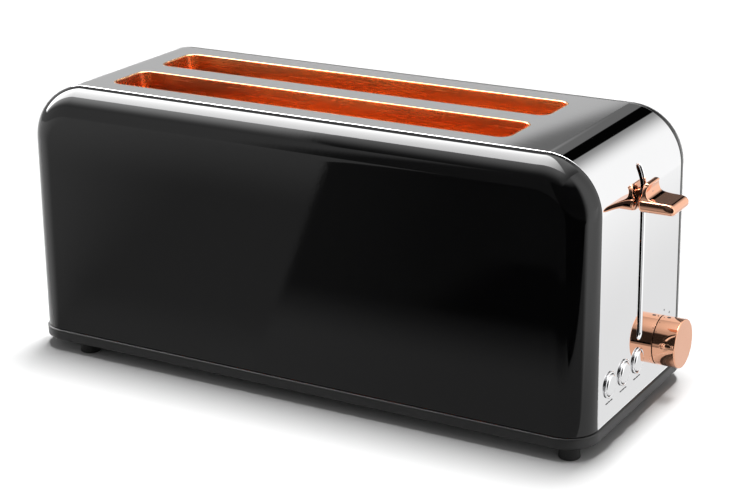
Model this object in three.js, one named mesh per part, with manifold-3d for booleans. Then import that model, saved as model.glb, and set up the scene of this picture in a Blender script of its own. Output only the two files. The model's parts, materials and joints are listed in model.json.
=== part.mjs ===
// A long-slot, four-slice pop up toaster, in millimetres, +Z up, standing on its feet at z = 0.
// Inside this file x runs along the toaster from the crumb tray end (-X) to the control end (+X),
// y runs from the front cover (-Y) to the rear cover (+Y), and x = 0 is the middle of the body.
// The exported group is moved along x so that its origin is the middle of the whole footprint.
import * as THREE from "three";
import { mergeVertices } from "three/addons/utils/BufferGeometryUtils.js";
import Module from "manifold-3d";

const wasm = await Module();
wasm.setup();

// ---------------------------------------------------------------- driving dimensions

const BODY_LENGTH = 400;
const BODY_WIDTH = 160;
const BODY_HEIGHT = 180;
const WRAP_WIDTH = 121;
const CORNER_RADIUS = 35.4;
const SHEET = 1.2;
const GAP = 0.3;
const ARC_STEPS = 4; // each arc of an outline gets twice this many flats
const COVER_STEPS = 6; // rings in the big round of a cover
const ROUND_SIDES = 16;

const FOOT_HEIGHT = 7.5;
const FOOT_RADIUS = 6.6;
const FOOT_X = [-163, 187];
const FOOT_Y = 71;
const BASE_LIP_HEIGHT = 7.1;
const BASE_OVERHANG = 1;
const BASE_WALL = 3;
const BASE_FLOOR = 1.8;
const BASE_CORNER = 20.5;
const BOARD_POST_Y = 52;
const SCREW_RADIUS = 1.5;
const SCREW_HEAD_RADIUS = 3;
const SCREW_HEAD_Z = [1, 2.7];
const SCREW_TIP_Z = 13;

const SLOT_LENGTH = 288;
const SLOT_WIDTH = 38;
const SLOT_Y = 27.2; // from the middle plane to the middle of each bread slot
const SLOT_X = -11; // the slots sit a little away from the control end
const SLOT_CORNER = 8;
const LINER_DEPTH = 12;
const LINER_WALL = 1;

const CHAMBER_START = -163; // outer face of the far end plate
const CHAMBER_END = 140; // inner face of the end plate at the controls
const CHAMBER_TOP = 165;
const PLATE_HALF_WIDTH = 59;
const PLATE_LEG_Y = 55; // inner edge of an end plate's legs, clear of the crumb tray
const REFLECTOR_Y = 54;
const REFLECTOR_FLANGE = 4;
const REFLECTOR_LOW = 20;
const CARD_OFFSET = 22; // from the middle of a slot to its heater cards
const CARD_THICK = 0.8;
const CARD_Z = [30, 160];
const RIBBON_THICK = 0.3;
const RIBBON_HEIGHT = 2.5;
const RIBBON_ROWS = 8;
const RIBBON_PITCH = 15;
const RIBBON_INSET = [12, 8]; // from the card's ends, and from its lower edge

const GUARD_OFFSET = 16.5; // from the middle of a slot to its wire guards
const GUARD_THICK = 1.6;
const GUARD_PIVOT_Z = 24;
const GUARD_WINDOWS = 7;
const GUARD_WIRE = 3;
const GUARD_PIVOT_RADIUS = 1.2;
const GUARD_SILL = 8; // height of the solid strip along the pivot

const RACK_TOP = 104; // with the lever at its resting height
const RACK_THICK = 3.2;
const RACK_SPINE = 2.5;
const RACK_FINGERS = 10;
const RACK_PITCH = 28;
const RACK_HALF_WIDTH = 12;
const TRAVEL_DOWN = 82;
const TRAVEL_UP = 11;

const ROD_X = 160;
const ROD_RADIUS = 2.5;
const ROD_TOP = 172;
const SLEEVE_RADIUS = 5;
const SLEEVE_BORE = 2.9;
const SLEEVE_Z = [98, 150];
const CROSSBAR_X = 149;
const CROSSBAR_THICK = 2.2;
const BRACKET_TOP = 112;
const SPRING_TAB_THICK = 2;
const BRIDGE_Z = [150, 167.2];
const BRIDGE_END_X = 178;
const BRIDGE_HALF_WIDTH = 16;
const SPRING_Y = 11;
const SPRING_RADIUS = 4;
const SPRING_WIRE = 1;
const ARM_Z = [137, 146];
const ARM_THICK = 2;
const ARM_TIP_X = 206;
const SLIT_WIDTH = 5.5;
const SLIT_END_RADIUS = 2.7;
const SLIT_Z = [52, 161];

const LEVER_WIDTH = 25;
const LEVER_NECK = 8;
const LEVER_BOTTOM = 135.2;
const LEVER_ROOT_X = 203.8;
const LEVER_NOSE_X = 225.6;
const LEVER_NOSE_RADIUS = 2.9;
const MAGNET_X = [166, 180];
const MAGNET_Y = [-28, -12];
const MAGNET_LEG = 4;
const MAGNET_BOTTOM = 15;
const COIL_TOP = 33;
const COIL_BUILD = 3; // thickness of the winding on each side of its leg
const ARMATURE_Z = [118.5, 121.5];

const CONTROL_Z = 38.2; // height of the knob and the buttons
const KNOB_Y = 36;
const KNOB_RADIUS = 15.5;
const KNOB_DEPTH = 14.3;
const SHAFT_RADIUS = 3;
const SHAFT_END_X = 208.5;
const BUTTON_Y = [-44.5, -23.5, -2.5];
const BUTTON_RADIUS = 6.5;
const BUTTON_REACH = 3.2;
const BUTTON_STEM = 2.5;
const BEZEL_RADIUS = 8.2;
const BEZEL_PROUD = 1.8;
const BOARD_X = 185;
const BOARD_THICK = 1.6;
const BOARD_HALF_WIDTH = 56;
const BOARD_Z = [18, 49];
const SOCKET_DEPTH = 4;

const TRAY_HALF_WIDTH = 53.7;
const TRAY_HEIGHT = 4.3;
const TRAY_SHEET = 0.8;
const TRAY_GRIP = 5.8;
const TRAY_GRIP_HALF_WIDTH = 32;
const GLAND_Y = 42;
const GLAND_Z = 34;
const GLAND_BARREL = 5;
const GLAND_BORE = 3.6;

// ---------------------------------------------------------------- sizes that follow from them

const HALF_LENGTH = BODY_LENGTH / 2;
const BASE_TOP = FOOT_HEIGHT + BASE_LIP_HEIGHT;
const FLOOR_TOP = FOOT_HEIGHT + BASE_FLOOR;
const SKIRT_Z = BASE_TOP + GAP; // lower edge of the wrap and of the covers
const COVER_START_Y = WRAP_WIDTH / 2 + GAP / 2;
const EDGE_RADIUS = BODY_WIDTH / 2 - COVER_START_Y;
const CHAMBER_SPAN = [CHAMBER_START + SHEET + GAP, CHAMBER_END - GAP];
const SPRING_Z = [SLEEVE_Z[0] + SPRING_TAB_THICK + GAP, BRIDGE_Z[1] - SHEET - GAP];
const BEZEL_BORE = BUTTON_RADIUS + 0.4;
const BEZEL_COLLAR = BUTTON_RADIUS + 1;
const BOARD_BACK_X = BOARD_X + BOARD_THICK + GAP;
const TRAY_END_X = -HALF_LENGTH - BASE_OVERHANG - TRAY_GRIP;
const FOOTPRINT_MIDDLE_X = (LEVER_NOSE_X + TRAY_END_X) / 2;

// ---------------------------------------------------------------- solids: join and cut

function toSolid(geometry) {
  const bare = geometry.clone();
  bare.deleteAttribute("normal");
  bare.deleteAttribute("uv");
  const merged = mergeVertices(bare, 1e-4);
  return new wasm.Manifold(
    new wasm.Mesh({
      numProp: 3,
      vertProperties: new Float32Array(merged.attributes.position.array),
      triVerts: new Uint32Array(merged.index.array),
    }),
  );
}

function toGeometry(solid) {
  const mesh = solid.getMesh();
  const geometry = new THREE.BufferGeometry();
  geometry.setAttribute("position", new THREE.BufferAttribute(mesh.vertProperties, 3));
  geometry.setIndex(new THREE.BufferAttribute(mesh.triVerts, 1));
  geometry.computeVertexNormals();
  return geometry;
}

function join(...geometries) {
  const solids = geometries.map(toSolid);
  return toGeometry(solids.reduce((sum, solid) => sum.add(solid)));
}

function cut(geometry, ...tools) {
  const start = toSolid(geometry);
  return toGeometry(tools.map(toSolid).reduce((left, tool) => left.subtract(tool), start));
}

// ---------------------------------------------------------------- basic forms

// A box between two corners.
function block([x0, x1], [y0, y1], [z0, z1]) {
  const box = new THREE.BoxGeometry(x1 - x0, y1 - y0, z1 - z0);
  return box.translate((x0 + x1) / 2, (y0 + y1) / 2, (z0 + z1) / 2);
}

// A round bar along one axis, between two places on it.
function bar(axis, radius, from, to, sides = ROUND_SIDES) {
  const rod = new THREE.CylinderGeometry(radius, radius, to - from, sides);
  rod.translate(0, (from + to) / 2, 0);
  return turnTo(axis, rod);
}

// Turns a form made around +Y so that it lies along axis "x" or "z".
function turnTo(axis, geometry) {
  return axis === "x" ? geometry.rotateZ(-Math.PI / 2) : geometry.rotateX(Math.PI / 2);
}

// A turned part: profile is a list of [radius, place along the axis].
function turned(axis, profile, sides = ROUND_SIDES) {
  const points = profile.map(([radius, place]) => new THREE.Vector2(radius, place));
  return turnTo(axis, new THREE.LatheGeometry(points, sides));
}

// A turned ring: the same, with its profile closed on itself.
function turnedRing(axis, profile, sides = ROUND_SIDES) {
  return turned(axis, [...profile, profile[0]], sides);
}

const ALONG = {
  x: new THREE.Matrix4().set(0, 0, 1, 0, 1, 0, 0, 0, 0, 1, 0, 0, 0, 0, 0, 1),
  y: new THREE.Matrix4().set(1, 0, 0, 0, 0, 0, -1, 0, 0, 1, 0, 0, 0, 0, 0, 1),
  z: new THREE.Matrix4(),
};

// A flat outline pushed along an axis: drawn in (y, z) for x, in (x, z) for y, in (x, y) for z.
function extruded(axis, shape, [from, to], curveSegments = ARC_STEPS) {
  const flat = { depth: to - from, bevelEnabled: false, curveSegments };
  const geometry = new THREE.ExtrudeGeometry(shape, flat).applyMatrix4(ALONG[axis]);
  if (axis === "x") return geometry.translate(from, 0, 0);
  if (axis === "y") return geometry.translate(0, to, 0);
  return geometry.translate(0, 0, from);
}

// A flat outline pushed along an axis, with holes of other outlines right through it.
function pierced(axis, shape, [from, to], holes, curveSegments = ARC_STEPS) {
  const tools = holes.map((hole) => extruded(axis, hole, [from - 1, to + 1], curveSegments));
  return cut(extruded(axis, shape, [from, to], curveSegments), ...tools);
}

function polygon(points) {
  return new THREE.Shape(points.map(([a, b]) => new THREE.Vector2(a, b)));
}

function rectangle([a0, a1], [b0, b1]) {
  return polygon([[a0, b0], [a1, b0], [a1, b1], [a0, b1]]);
}

function roundedRectangle([a0, a1], [b0, b1], radius) {
  const quarter = Math.PI / 2;
  const shape = new THREE.Shape();
  shape.moveTo(a0 + radius, b0);
  shape.lineTo(a1 - radius, b0);
  shape.absarc(a1 - radius, b0 + radius, radius, -quarter, 0);
  shape.absarc(a1 - radius, b1 - radius, radius, 0, quarter);
  shape.absarc(a0 + radius, b1 - radius, radius, quarter, 2 * quarter);
  shape.absarc(a0 + radius, b0 + radius, radius, 2 * quarter, 3 * quarter);
  return shape;
}

function disc(a, b, radius) {
  return new THREE.Shape().absarc(a, b, radius, 0, 2 * Math.PI);
}

function around(middle, half) {
  return [middle - half, middle + half];
}

// ---------------------------------------------------------------- outer body

// Half outline of the body seen from the front: up one end, over the top, down the other.
function archPoints(inset, bottom) {
  const end = HALF_LENGTH - inset;
  const radius = CORNER_RADIUS - inset;
  const centreX = HALF_LENGTH - CORNER_RADIUS;
  const centreZ = BODY_HEIGHT - CORNER_RADIUS;
  const [left, top, right] = [Math.PI, Math.PI / 2, 0];
  const corner = (x, from, to) =>
    new THREE.EllipseCurve(x, centreZ, radius, radius, from, to, true).getPoints(2 * ARC_STEPS);
  return [
    new THREE.Vector2(-end, bottom),
    ...corner(-centreX, left, top),
    ...corner(centreX, top, right),
    new THREE.Vector2(end, bottom),
  ];
}

// A closed body through rings of equal point count; each ring is convex.
function loft(rings) {
  const count = rings[0].length;
  const positions = rings.flat().flatMap((point) => point.toArray());
  const faces = [];
  for (let ring = 0; ring + 1 < rings.length; ring++) {
    for (let i = 0; i < count; i++) {
      const next = (i + 1) % count;
      const a = ring * count + i;
      const b = ring * count + next;
      faces.push(a, b + count, b, a, a + count, b + count);
    }
  }
  const last = (rings.length - 1) * count;
  for (let i = 1; i + 1 < count; i++) {
    faces.push(0, i, i + 1);
    faces.push(last, last + i + 1, last + i);
  }
  const geometry = new THREE.BufferGeometry();
  geometry.setAttribute("position", new THREE.Float32BufferAttribute(positions, 3));
  geometry.setIndex(faces);
  return geometry;
}

// The pillow form of a long cover: its outline draws in along a quarter round as it nears the face.
function coverForm(skin, startY, bottom) {
  const reach = EDGE_RADIUS - skin;
  const rings = [];
  for (let step = 0; step <= COVER_STEPS; step++) {
    const angle = (Math.PI / 2) * (step / COVER_STEPS);
    const inset = skin + reach * (1 - Math.cos(angle));
    const y = step === 0 ? startY : COVER_START_Y + reach * Math.sin(angle);
    rings.push(archPoints(inset, bottom).map((p) => new THREE.Vector3(p.x, -y, p.y)));
  }
  return loft(rings);
}

function sidePanel() {
  const outside = coverForm(0, COVER_START_Y, SKIRT_Z);
  const inside = coverForm(SHEET, COVER_START_Y - 1, SKIRT_Z - 1);
  return cut(outside, inside);
}

// The holes in the wrap's control end, each a little larger than what passes through it.
function controlHoles() {
  const wall = [HALF_LENGTH - 2 * SHEET, HALF_LENGTH + SHEET];
  const holes = BUTTON_Y.map((y) => bar("x", BEZEL_COLLAR + GAP, ...wall).translate(0, y, CONTROL_Z));
  holes.push(bar("x", SHAFT_RADIUS + 1, ...wall).translate(0, KNOB_Y, CONTROL_Z));
  const slit = roundedRectangle(around(0, SLIT_WIDTH / 2), SLIT_Z, SLIT_END_RADIUS);
  holes.push(extruded("x", slit, [HALF_LENGTH - 12, HALF_LENGTH + SHEET], 2));
  return holes;
}

function polishedWrap() {
  const outline = archPoints(0, SKIRT_Z);
  const inner = archPoints(SHEET, SKIRT_Z).reverse();
  const section = new THREE.Shape([...outline, ...inner]);
  const sheet = extruded("y", section, around(0, (WRAP_WIDTH - GAP) / 2));
  const slots = [-SLOT_Y, SLOT_Y].map((y) => {
    const mouth = roundedRectangle(around(SLOT_X, SLOT_LENGTH / 2), around(y, SLOT_WIDTH / 2), SLOT_CORNER);
    return extruded("z", mouth, [BODY_HEIGHT - 2 * SHEET, BODY_HEIGHT + SHEET], 3);
  });
  const glandWall = [-HALF_LENGTH - SHEET, -HALF_LENGTH + 2 * SHEET];
  const glandHole = bar("x", GLAND_BARREL + GAP, ...glandWall).translate(0, GLAND_Y, GLAND_Z);
  return cut(sheet, ...slots, ...controlHoles(), glandHole);
}

function slotLiner() {
  const halfLength = SLOT_LENGTH / 2 - GAP;
  const halfWidth = SLOT_WIDTH / 2 - GAP;
  const rim = roundedRectangle(around(0, halfLength), around(0, halfWidth), SLOT_CORNER - GAP);
  const mouth = roundedRectangle(
    around(0, halfLength - LINER_WALL),
    around(0, halfWidth - LINER_WALL),
    SLOT_CORNER - GAP - LINER_WALL,
  );
  return pierced("z", rim, [-LINER_DEPTH, 0], [mouth], 3);
}

function baseTray() {
  const halfLength = HALF_LENGTH + BASE_OVERHANG;
  const halfWidth = BODY_WIDTH / 2 + BASE_OVERHANG;
  const outline = roundedRectangle(around(0, halfLength), around(0, halfWidth), BASE_CORNER);
  const hollow = roundedRectangle(
    around(0, halfLength - BASE_WALL),
    around(0, halfWidth - BASE_WALL),
    BASE_CORNER - BASE_WALL,
  );
  const trayDoor = block(
    [-halfLength - 1, -halfLength + 2 * BASE_WALL],
    around(0, TRAY_HALF_WIDTH + 0.8),
    [FLOOR_TOP, BASE_TOP + 1],
  );
  const screwHoles = footPlaces().map(([x, y]) =>
    bar("z", SCREW_RADIUS + GAP, FOOT_HEIGHT - 1, FLOOR_TOP + 1, 10).translate(x, y, 0),
  );
  const shell = cut(
    extruded("z", outline, [FOOT_HEIGHT, BASE_TOP]),
    extruded("z", hollow, [FLOOR_TOP, BASE_TOP + 1]),
    trayDoor,
    ...screwHoles,
  );
  const postX = [BOARD_X - 5, BOARD_X - GAP];
  const postZ = [FOOT_HEIGHT + BASE_FLOOR / 2, BOARD_Z[0] + 12];
  const posts = [-BOARD_POST_Y, BOARD_POST_Y].map((y) => block(postX, around(y, 3), postZ));
  return join(shell, ...posts);
}

function footPlaces() {
  return FOOT_X.flatMap((x) => [[x, -FOOT_Y], [x, FOOT_Y]]);
}

function foot() {
  const recess = SCREW_HEAD_RADIUS + 0.5;
  const hole = SCREW_RADIUS + GAP;
  const seat = SCREW_HEAD_Z[1] + GAP;
  return turnedRing("z", [
    [recess, 0],
    [FOOT_RADIUS - 0.6, 0],
    [FOOT_RADIUS, 0.8],
    [FOOT_RADIUS, FOOT_HEIGHT - GAP],
    [hole, FOOT_HEIGHT - GAP],
    [hole, seat],
    [recess, seat],
  ]);
}

function footScrew() {
  const [faceZ, seatZ] = SCREW_HEAD_Z;
  return turned("z", [
    [0, faceZ],
    [SCREW_HEAD_RADIUS, faceZ],
    [SCREW_HEAD_RADIUS, seatZ],
    [SCREW_RADIUS, seatZ],
    [SCREW_RADIUS, SCREW_TIP_Z],
    [0, SCREW_TIP_Z],
  ], 10);
}

// A collar outside the wrap, a barrel through it and a clip ring behind it.
function cordGland() {
  const collar = 7.5;
  const clip = 6.2;
  const clipX = [SHEET + GAP, 4];
  return turnedRing("x", [
    [GLAND_BORE, -2.3],
    [collar, -2.3],
    [collar, -GAP],
    [GLAND_BARREL, -GAP],
    [GLAND_BARREL, clipX[0]],
    [clip, clipX[0]],
    [clip, clipX[1]],
    [GLAND_BORE, clipX[1]],
  ]);
}

// ---------------------------------------------------------------- toasting chamber

// An upright plate on two legs, with slits for the racks and holes for the guards' pivots.
function endPlate(legTop) {
  const low = FLOOR_TOP + GAP;
  const plate = polygon([
    [-PLATE_HALF_WIDTH, low],
    [-PLATE_LEG_Y, low],
    [-PLATE_LEG_Y, legTop],
    [PLATE_LEG_Y, legTop],
    [PLATE_LEG_Y, low],
    [PLATE_HALF_WIDTH, low],
    [PLATE_HALF_WIDTH, CHAMBER_TOP],
    [-PLATE_HALF_WIDTH, CHAMBER_TOP],
  ]);
  const rackSlit = [RACK_TOP - RACK_THICK - TRAVEL_DOWN - 2.8, RACK_TOP + TRAVEL_UP + 3];
  const holes = [-SLOT_Y, SLOT_Y].flatMap((y) => [
    rectangle(around(y, 3), rackSlit),
    disc(y - GUARD_OFFSET, GUARD_PIVOT_Z, 2),
    disc(y + GUARD_OFFSET, GUARD_PIVOT_Z, 2),
  ]);
  return pierced("x", plate, [0, SHEET], holes, 4);
}

function reflector() {
  const web = TRAY_SHEET;
  const [low, high] = [REFLECTOR_LOW, CHAMBER_TOP];
  const channel = polygon([
    [0, low],
    [REFLECTOR_FLANGE, low],
    [REFLECTOR_FLANGE, low + web],
    [web, low + web],
    [web, high - web],
    [REFLECTOR_FLANGE, high - web],
    [REFLECTOR_FLANGE, high],
    [0, high],
  ]);
  return extruded("x", channel, CHAMBER_SPAN);
}

function heaterCard() {
  return block(CHAMBER_SPAN, around(0, CARD_THICK / 2), CARD_Z);
}

// One flat ribbon that runs back and forth across the card: rows joined at alternate ends.
function heatingElement() {
  const [left, right] = [CHAMBER_SPAN[0] + RIBBON_INSET[0], CHAMBER_SPAN[1] - RIBBON_INSET[0]];
  const thick = [0, RIBBON_THICK];
  const strips = [];
  for (let row = 0; row < RIBBON_ROWS; row++) {
    const bottom = CARD_Z[0] + RIBBON_INSET[1] + row * RIBBON_PITCH;
    strips.push(block([left, right], thick, [bottom, bottom + RIBBON_HEIGHT]));
    const isLast = row === RIBBON_ROWS - 1;
    const turn = row % 2 === 0 ? [right - RIBBON_HEIGHT, right] : [left, left + RIBBON_HEIGHT];
    if (!isLast) strips.push(block(turn, thick, [bottom, bottom + RIBBON_PITCH + RIBBON_HEIGHT]));
  }
  return join(...strips);
}

function breadGuard() {
  const [left, right] = around(SLOT_X, SLOT_LENGTH / 2 - 5);
  const [low, high] = [GUARD_PIVOT_Z - GUARD_PIVOT_RADIUS, CHAMBER_TOP];
  const frame = rectangle([left, right], [low, high]);
  const pitch = (right - left - GUARD_WIRE) / GUARD_WINDOWS;
  const windows = [];
  for (let i = 0; i < GUARD_WINDOWS; i++) {
    const start = left + GUARD_WIRE + i * pitch;
    windows.push(rectangle([start, start + pitch - GUARD_WIRE], [low + GUARD_SILL, high - GUARD_WIRE]));
  }
  const grid = pierced("y", frame, around(0, GUARD_THICK / 2), windows);
  const pivot = bar("x", GUARD_PIVOT_RADIUS, CHAMBER_START - 3, CHAMBER_END + 3.5, 8);
  return join(grid, pivot.translate(0, 0, GUARD_PIVOT_Z)).translate(0, 0, -GUARD_PIVOT_Z);
}

// ---------------------------------------------------------------- carriage

function breadRack() {
  const spine = block([CHAMBER_START - 4, CROSSBAR_X - GAP], around(0, RACK_SPINE / 2), [-RACK_THICK, 0]);
  const first = SLOT_X - ((RACK_FINGERS - 1) / 2) * RACK_PITCH;
  const fingers = [];
  for (let i = 0; i < RACK_FINGERS; i++) {
    const x = first + i * RACK_PITCH;
    fingers.push(block(around(x, RACK_SPINE / 2), around(0, RACK_HALF_WIDTH), [-RACK_THICK, 0]));
  }
  return join(spine, ...fingers);
}

// A sleeve on the guide rod, a crossbar for the racks, an ear for the armature and a tab for the spring.
function carriageBracket() {
  const [low, high] = SLEEVE_Z;
  const earZ = [ARMATURE_Z[1] + GAP, ARMATURE_Z[1] + GAP + CROSSBAR_THICK];
  const sleeve = bar("z", SLEEVE_RADIUS, low, high).translate(ROD_X, 0, 0);
  const barX = [CROSSBAR_X, CROSSBAR_X + CROSSBAR_THICK];
  const crossbar = block(barX, around(0, SLOT_Y + 6), [low - 2, BRACKET_TOP]);
  const web = block([barX[1] - 0.2, ROD_X - SLEEVE_BORE - 1], around(0, 3), [low, BRACKET_TOP]);
  const ear = block([ROD_X - 2, MAGNET_X[1] + 1], [MAGNET_Y[0] - 1, -SLEEVE_BORE - 0.4], earZ);
  const tabY = [SLEEVE_BORE + 0.6, SPRING_Y + SPRING_RADIUS + 1];
  const springTab = block(around(ROD_X, 3), tabY, [low, low + SPRING_TAB_THICK]);
  const bore = bar("z", SLEEVE_BORE, low - 1, high + 1).translate(ROD_X, 0, 0);
  return cut(join(sleeve, crossbar, web, ear, springTab), bore);
}

function leverArm() {
  return block([ROD_X + SLEEVE_RADIUS + GAP, ARM_TIP_X], around(0, ARM_THICK / 2), ARM_Z);
}

// Seen from the front: flat tab with a round nose, a scoop for the finger and a lip that leans out.
function leverHandle() {
  const [root, low] = [LEVER_ROOT_X, LEVER_BOTTOM];
  const noseX = LEVER_NOSE_X - LEVER_NOSE_RADIUS;
  const profile = new THREE.Shape();
  profile.moveTo(root, low);
  profile.lineTo(noseX, low);
  profile.absarc(noseX, low + LEVER_NOSE_RADIUS, LEVER_NOSE_RADIUS, -Math.PI / 2, Math.PI / 2);
  profile.lineTo(root + 8.7, low + 6.3);
  profile.quadraticCurveTo(root + 2.2, low + 7.5, root + 3.8, low + 12.5);
  profile.quadraticCurveTo(root + 4.6, low + 15, root + 6.2, low + 16);
  profile.quadraticCurveTo(root + 4.2, low + 17.6, root + 2.2, low + 16.8);
  profile.quadraticCurveTo(root - 0.4, low + 15, root, low + 5);
  const paddle = extruded("y", profile, around(0, LEVER_WIDTH / 2));
  const neckZ = [ARM_Z[0] - SHEET, ARM_Z[1] + SHEET];
  const neck = block([HALF_LENGTH + 0.8, root + 1.2], around(0, LEVER_NECK / 2), neckZ);
  const socket = block(
    [HALF_LENGTH, ARM_TIP_X + GAP],
    around(0, ARM_THICK / 2 + GAP),
    [ARM_Z[0] - GAP, ARM_Z[1] + GAP],
  );
  return cut(join(paddle, neck), socket);
}

function frameBridge() {
  const start = CHAMBER_END + SHEET + GAP;
  const [low, top] = BRIDGE_Z;
  const ell = polygon([
    [start, low],
    [start + SHEET, low],
    [start + SHEET, top - SHEET],
    [BRIDGE_END_X, top - SHEET],
    [BRIDGE_END_X, top],
    [start, top],
  ]);
  const rodHole = bar("z", ROD_RADIUS + GAP, top - 5, top + 5).translate(ROD_X, 0, 0);
  return cut(extruded("y", ell, around(0, BRIDGE_HALF_WIDTH)), rodHole);
}

function liftSpring() {
  const [low, high] = SPRING_Z;
  return turnedRing("z", [
    [SPRING_RADIUS - SPRING_WIRE, low],
    [SPRING_RADIUS, low],
    [SPRING_RADIUS, high],
    [SPRING_RADIUS - SPRING_WIRE, high],
  ], 12);
}

// ---------------------------------------------------------------- hold-down magnet

function magnetCore() {
  const [left, right] = MAGNET_Y;
  const [low, high] = [MAGNET_BOTTOM, ARMATURE_Z[0] - TRAVEL_DOWN - GAP];
  const yoke = low + MAGNET_LEG;
  const horseshoe = polygon([
    [left, low],
    [right, low],
    [right, high],
    [right - MAGNET_LEG, high],
    [right - MAGNET_LEG, yoke],
    [left + MAGNET_LEG, yoke],
    [left + MAGNET_LEG, high],
    [left, high],
  ]);
  return extruded("x", horseshoe, MAGNET_X);
}

function magnetCoil() {
  const legMiddle = MAGNET_Y[1] - MAGNET_LEG / 2;
  const openingX = [MAGNET_X[0] - GAP, MAGNET_X[1] + GAP];
  const openingHalf = MAGNET_LEG / 2 + GAP;
  const windingX = [openingX[0] - COIL_BUILD, openingX[1] + COIL_BUILD];
  const winding = rectangle(windingX, around(legMiddle, openingHalf + COIL_BUILD));
  const opening = rectangle(openingX, around(legMiddle, openingHalf));
  return pierced("z", winding, [MAGNET_BOTTOM + MAGNET_LEG + GAP, COIL_TOP], [opening]);
}

function armaturePlate() {
  return block(MAGNET_X, MAGNET_Y, ARMATURE_Z);
}

// ---------------------------------------------------------------- controls

function buttonBezel() {
  const inside = -4;
  return turnedRing("x", [
    [BEZEL_BORE, inside],
    [BEZEL_COLLAR, inside],
    [BEZEL_COLLAR, GAP],
    [BEZEL_RADIUS, GAP],
    [BEZEL_RADIUS, BEZEL_PROUD],
    [BEZEL_BORE, BEZEL_PROUD],
  ]);
}

function buttonCap() {
  const [stemEnd, back, round] = [-9.4, -2.5, 0.5];
  return turned("x", [
    [0, stemEnd],
    [BUTTON_STEM, stemEnd],
    [BUTTON_STEM, back],
    [BUTTON_RADIUS, back],
    [BUTTON_RADIUS, BUTTON_REACH - round],
    [BUTTON_RADIUS - round, BUTTON_REACH],
    [0, BUTTON_REACH],
  ]);
}

function browningKnob() {
  const [bore, boreDepth, bevel] = [SHAFT_RADIUS + GAP, 9, 0.8];
  return turned("x", [
    [0, boreDepth],
    [bore, boreDepth],
    [bore, 0],
    [KNOB_RADIUS, 0],
    [KNOB_RADIUS, KNOB_DEPTH - bevel],
    [KNOB_RADIUS - bevel, KNOB_DEPTH],
    [0, KNOB_DEPTH],
  ], 24);
}

function potentiometer() {
  const [back, front] = [BOARD_BACK_X, BOARD_BACK_X + SOCKET_DEPTH + 3];
  const [casing, socket] = [8, SHAFT_RADIUS + GAP];
  return turned("x", [
    [0, back],
    [casing, back],
    [casing, front],
    [socket, front],
    [socket, front - SOCKET_DEPTH],
    [0, front - SOCKET_DEPTH],
  ]);
}

// ---------------------------------------------------------------- crumb tray

function crumbTray() {
  const x = [-HALF_LENGTH - 0.7, CHAMBER_END - 1];
  const bottom = FLOOR_TOP + GAP;
  const pan = block(x, around(0, TRAY_HALF_WIDTH), [bottom, bottom + TRAY_HEIGHT]);
  const hollow = block(
    [x[0] + TRAY_SHEET, x[1] - TRAY_SHEET],
    around(0, TRAY_HALF_WIDTH - TRAY_SHEET),
    [bottom + TRAY_SHEET, bottom + TRAY_HEIGHT + 1],
  );
  return cut(pan, hollow);
}

function crumbTrayHandle() {
  const x = [TRAY_END_X, -HALF_LENGTH - BASE_OVERHANG];
  const outline = roundedRectangle(x, around(0, TRAY_GRIP_HALF_WIDTH), 2.5);
  return extruded("z", outline, [FOOT_HEIGHT + 0.7, BASE_TOP - 0.4], 2);
}

// ---------------------------------------------------------------- materials

function material(color, roughness, metalness) {
  return new THREE.MeshStandardMaterial({ color, roughness, metalness });
}

const BLACK_ENAMEL = material(0x0b0b0c, 0.12, 0);
const MIRROR_STEEL = material(0xd9d9dc, 0.08, 1);
const PLAIN_STEEL = material(0xa9abad, 0.4, 1);
const REFLECTOR_STEEL = material(0xb8895a, 0.3, 1);
const SATIN_BLACK = material(0x1a191b, 0.5, 0);
const BLACK_RUBBER = material(0x101011, 0.8, 0);
const COPPER = material(0xe09a76, 0.15, 1);
const MICA = material(0xb8a37c, 0.6, 0);
const NICHROME = material(0x8c3a1c, 0.5, 1);
const CIRCUIT_GREEN = material(0x1f5a32, 0.5, 0);
const MAGNET_WIRE = material(0x9c4a22, 0.4, 0.6);

// ---------------------------------------------------------------- assembly

const toaster = new THREE.Group();
toaster.position.x = -FOOTPRINT_MIDDLE_X;

function add(name, geometry, look, [x, y, z] = [0, 0, 0], turnZ = 0) {
  const mesh = new THREE.Mesh(geometry, look);
  mesh.name = name;
  mesh.position.set(x, y, z);
  mesh.rotation.z = turnZ;
  toaster.add(mesh);
}

function addBody() {
  add("base_tray", baseTray(), SATIN_BLACK);
  add("polished_wrap", polishedWrap(), MIRROR_STEEL);
  add("side_panel_front", sidePanel(), BLACK_ENAMEL);
  add("side_panel_rear", sidePanel(), BLACK_ENAMEL, [0, 0, 0], Math.PI);
  add("slot_liner_front", slotLiner(), MIRROR_STEEL, [SLOT_X, -SLOT_Y, BODY_HEIGHT]);
  add("slot_liner_rear", slotLiner(), MIRROR_STEEL, [SLOT_X, SLOT_Y, BODY_HEIGHT]);
  add("cord_gland", cordGland(), SATIN_BLACK, [-HALF_LENGTH, GLAND_Y, GLAND_Z]);
  footPlaces().forEach(([x, y], i) => {
    add(`foot_${i + 1}`, foot(), BLACK_RUBBER, [x, y, 0]);
    add(`foot_screw_${i + 1}`, footScrew(), PLAIN_STEEL, [x, y, 0]);
  });
}

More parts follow.
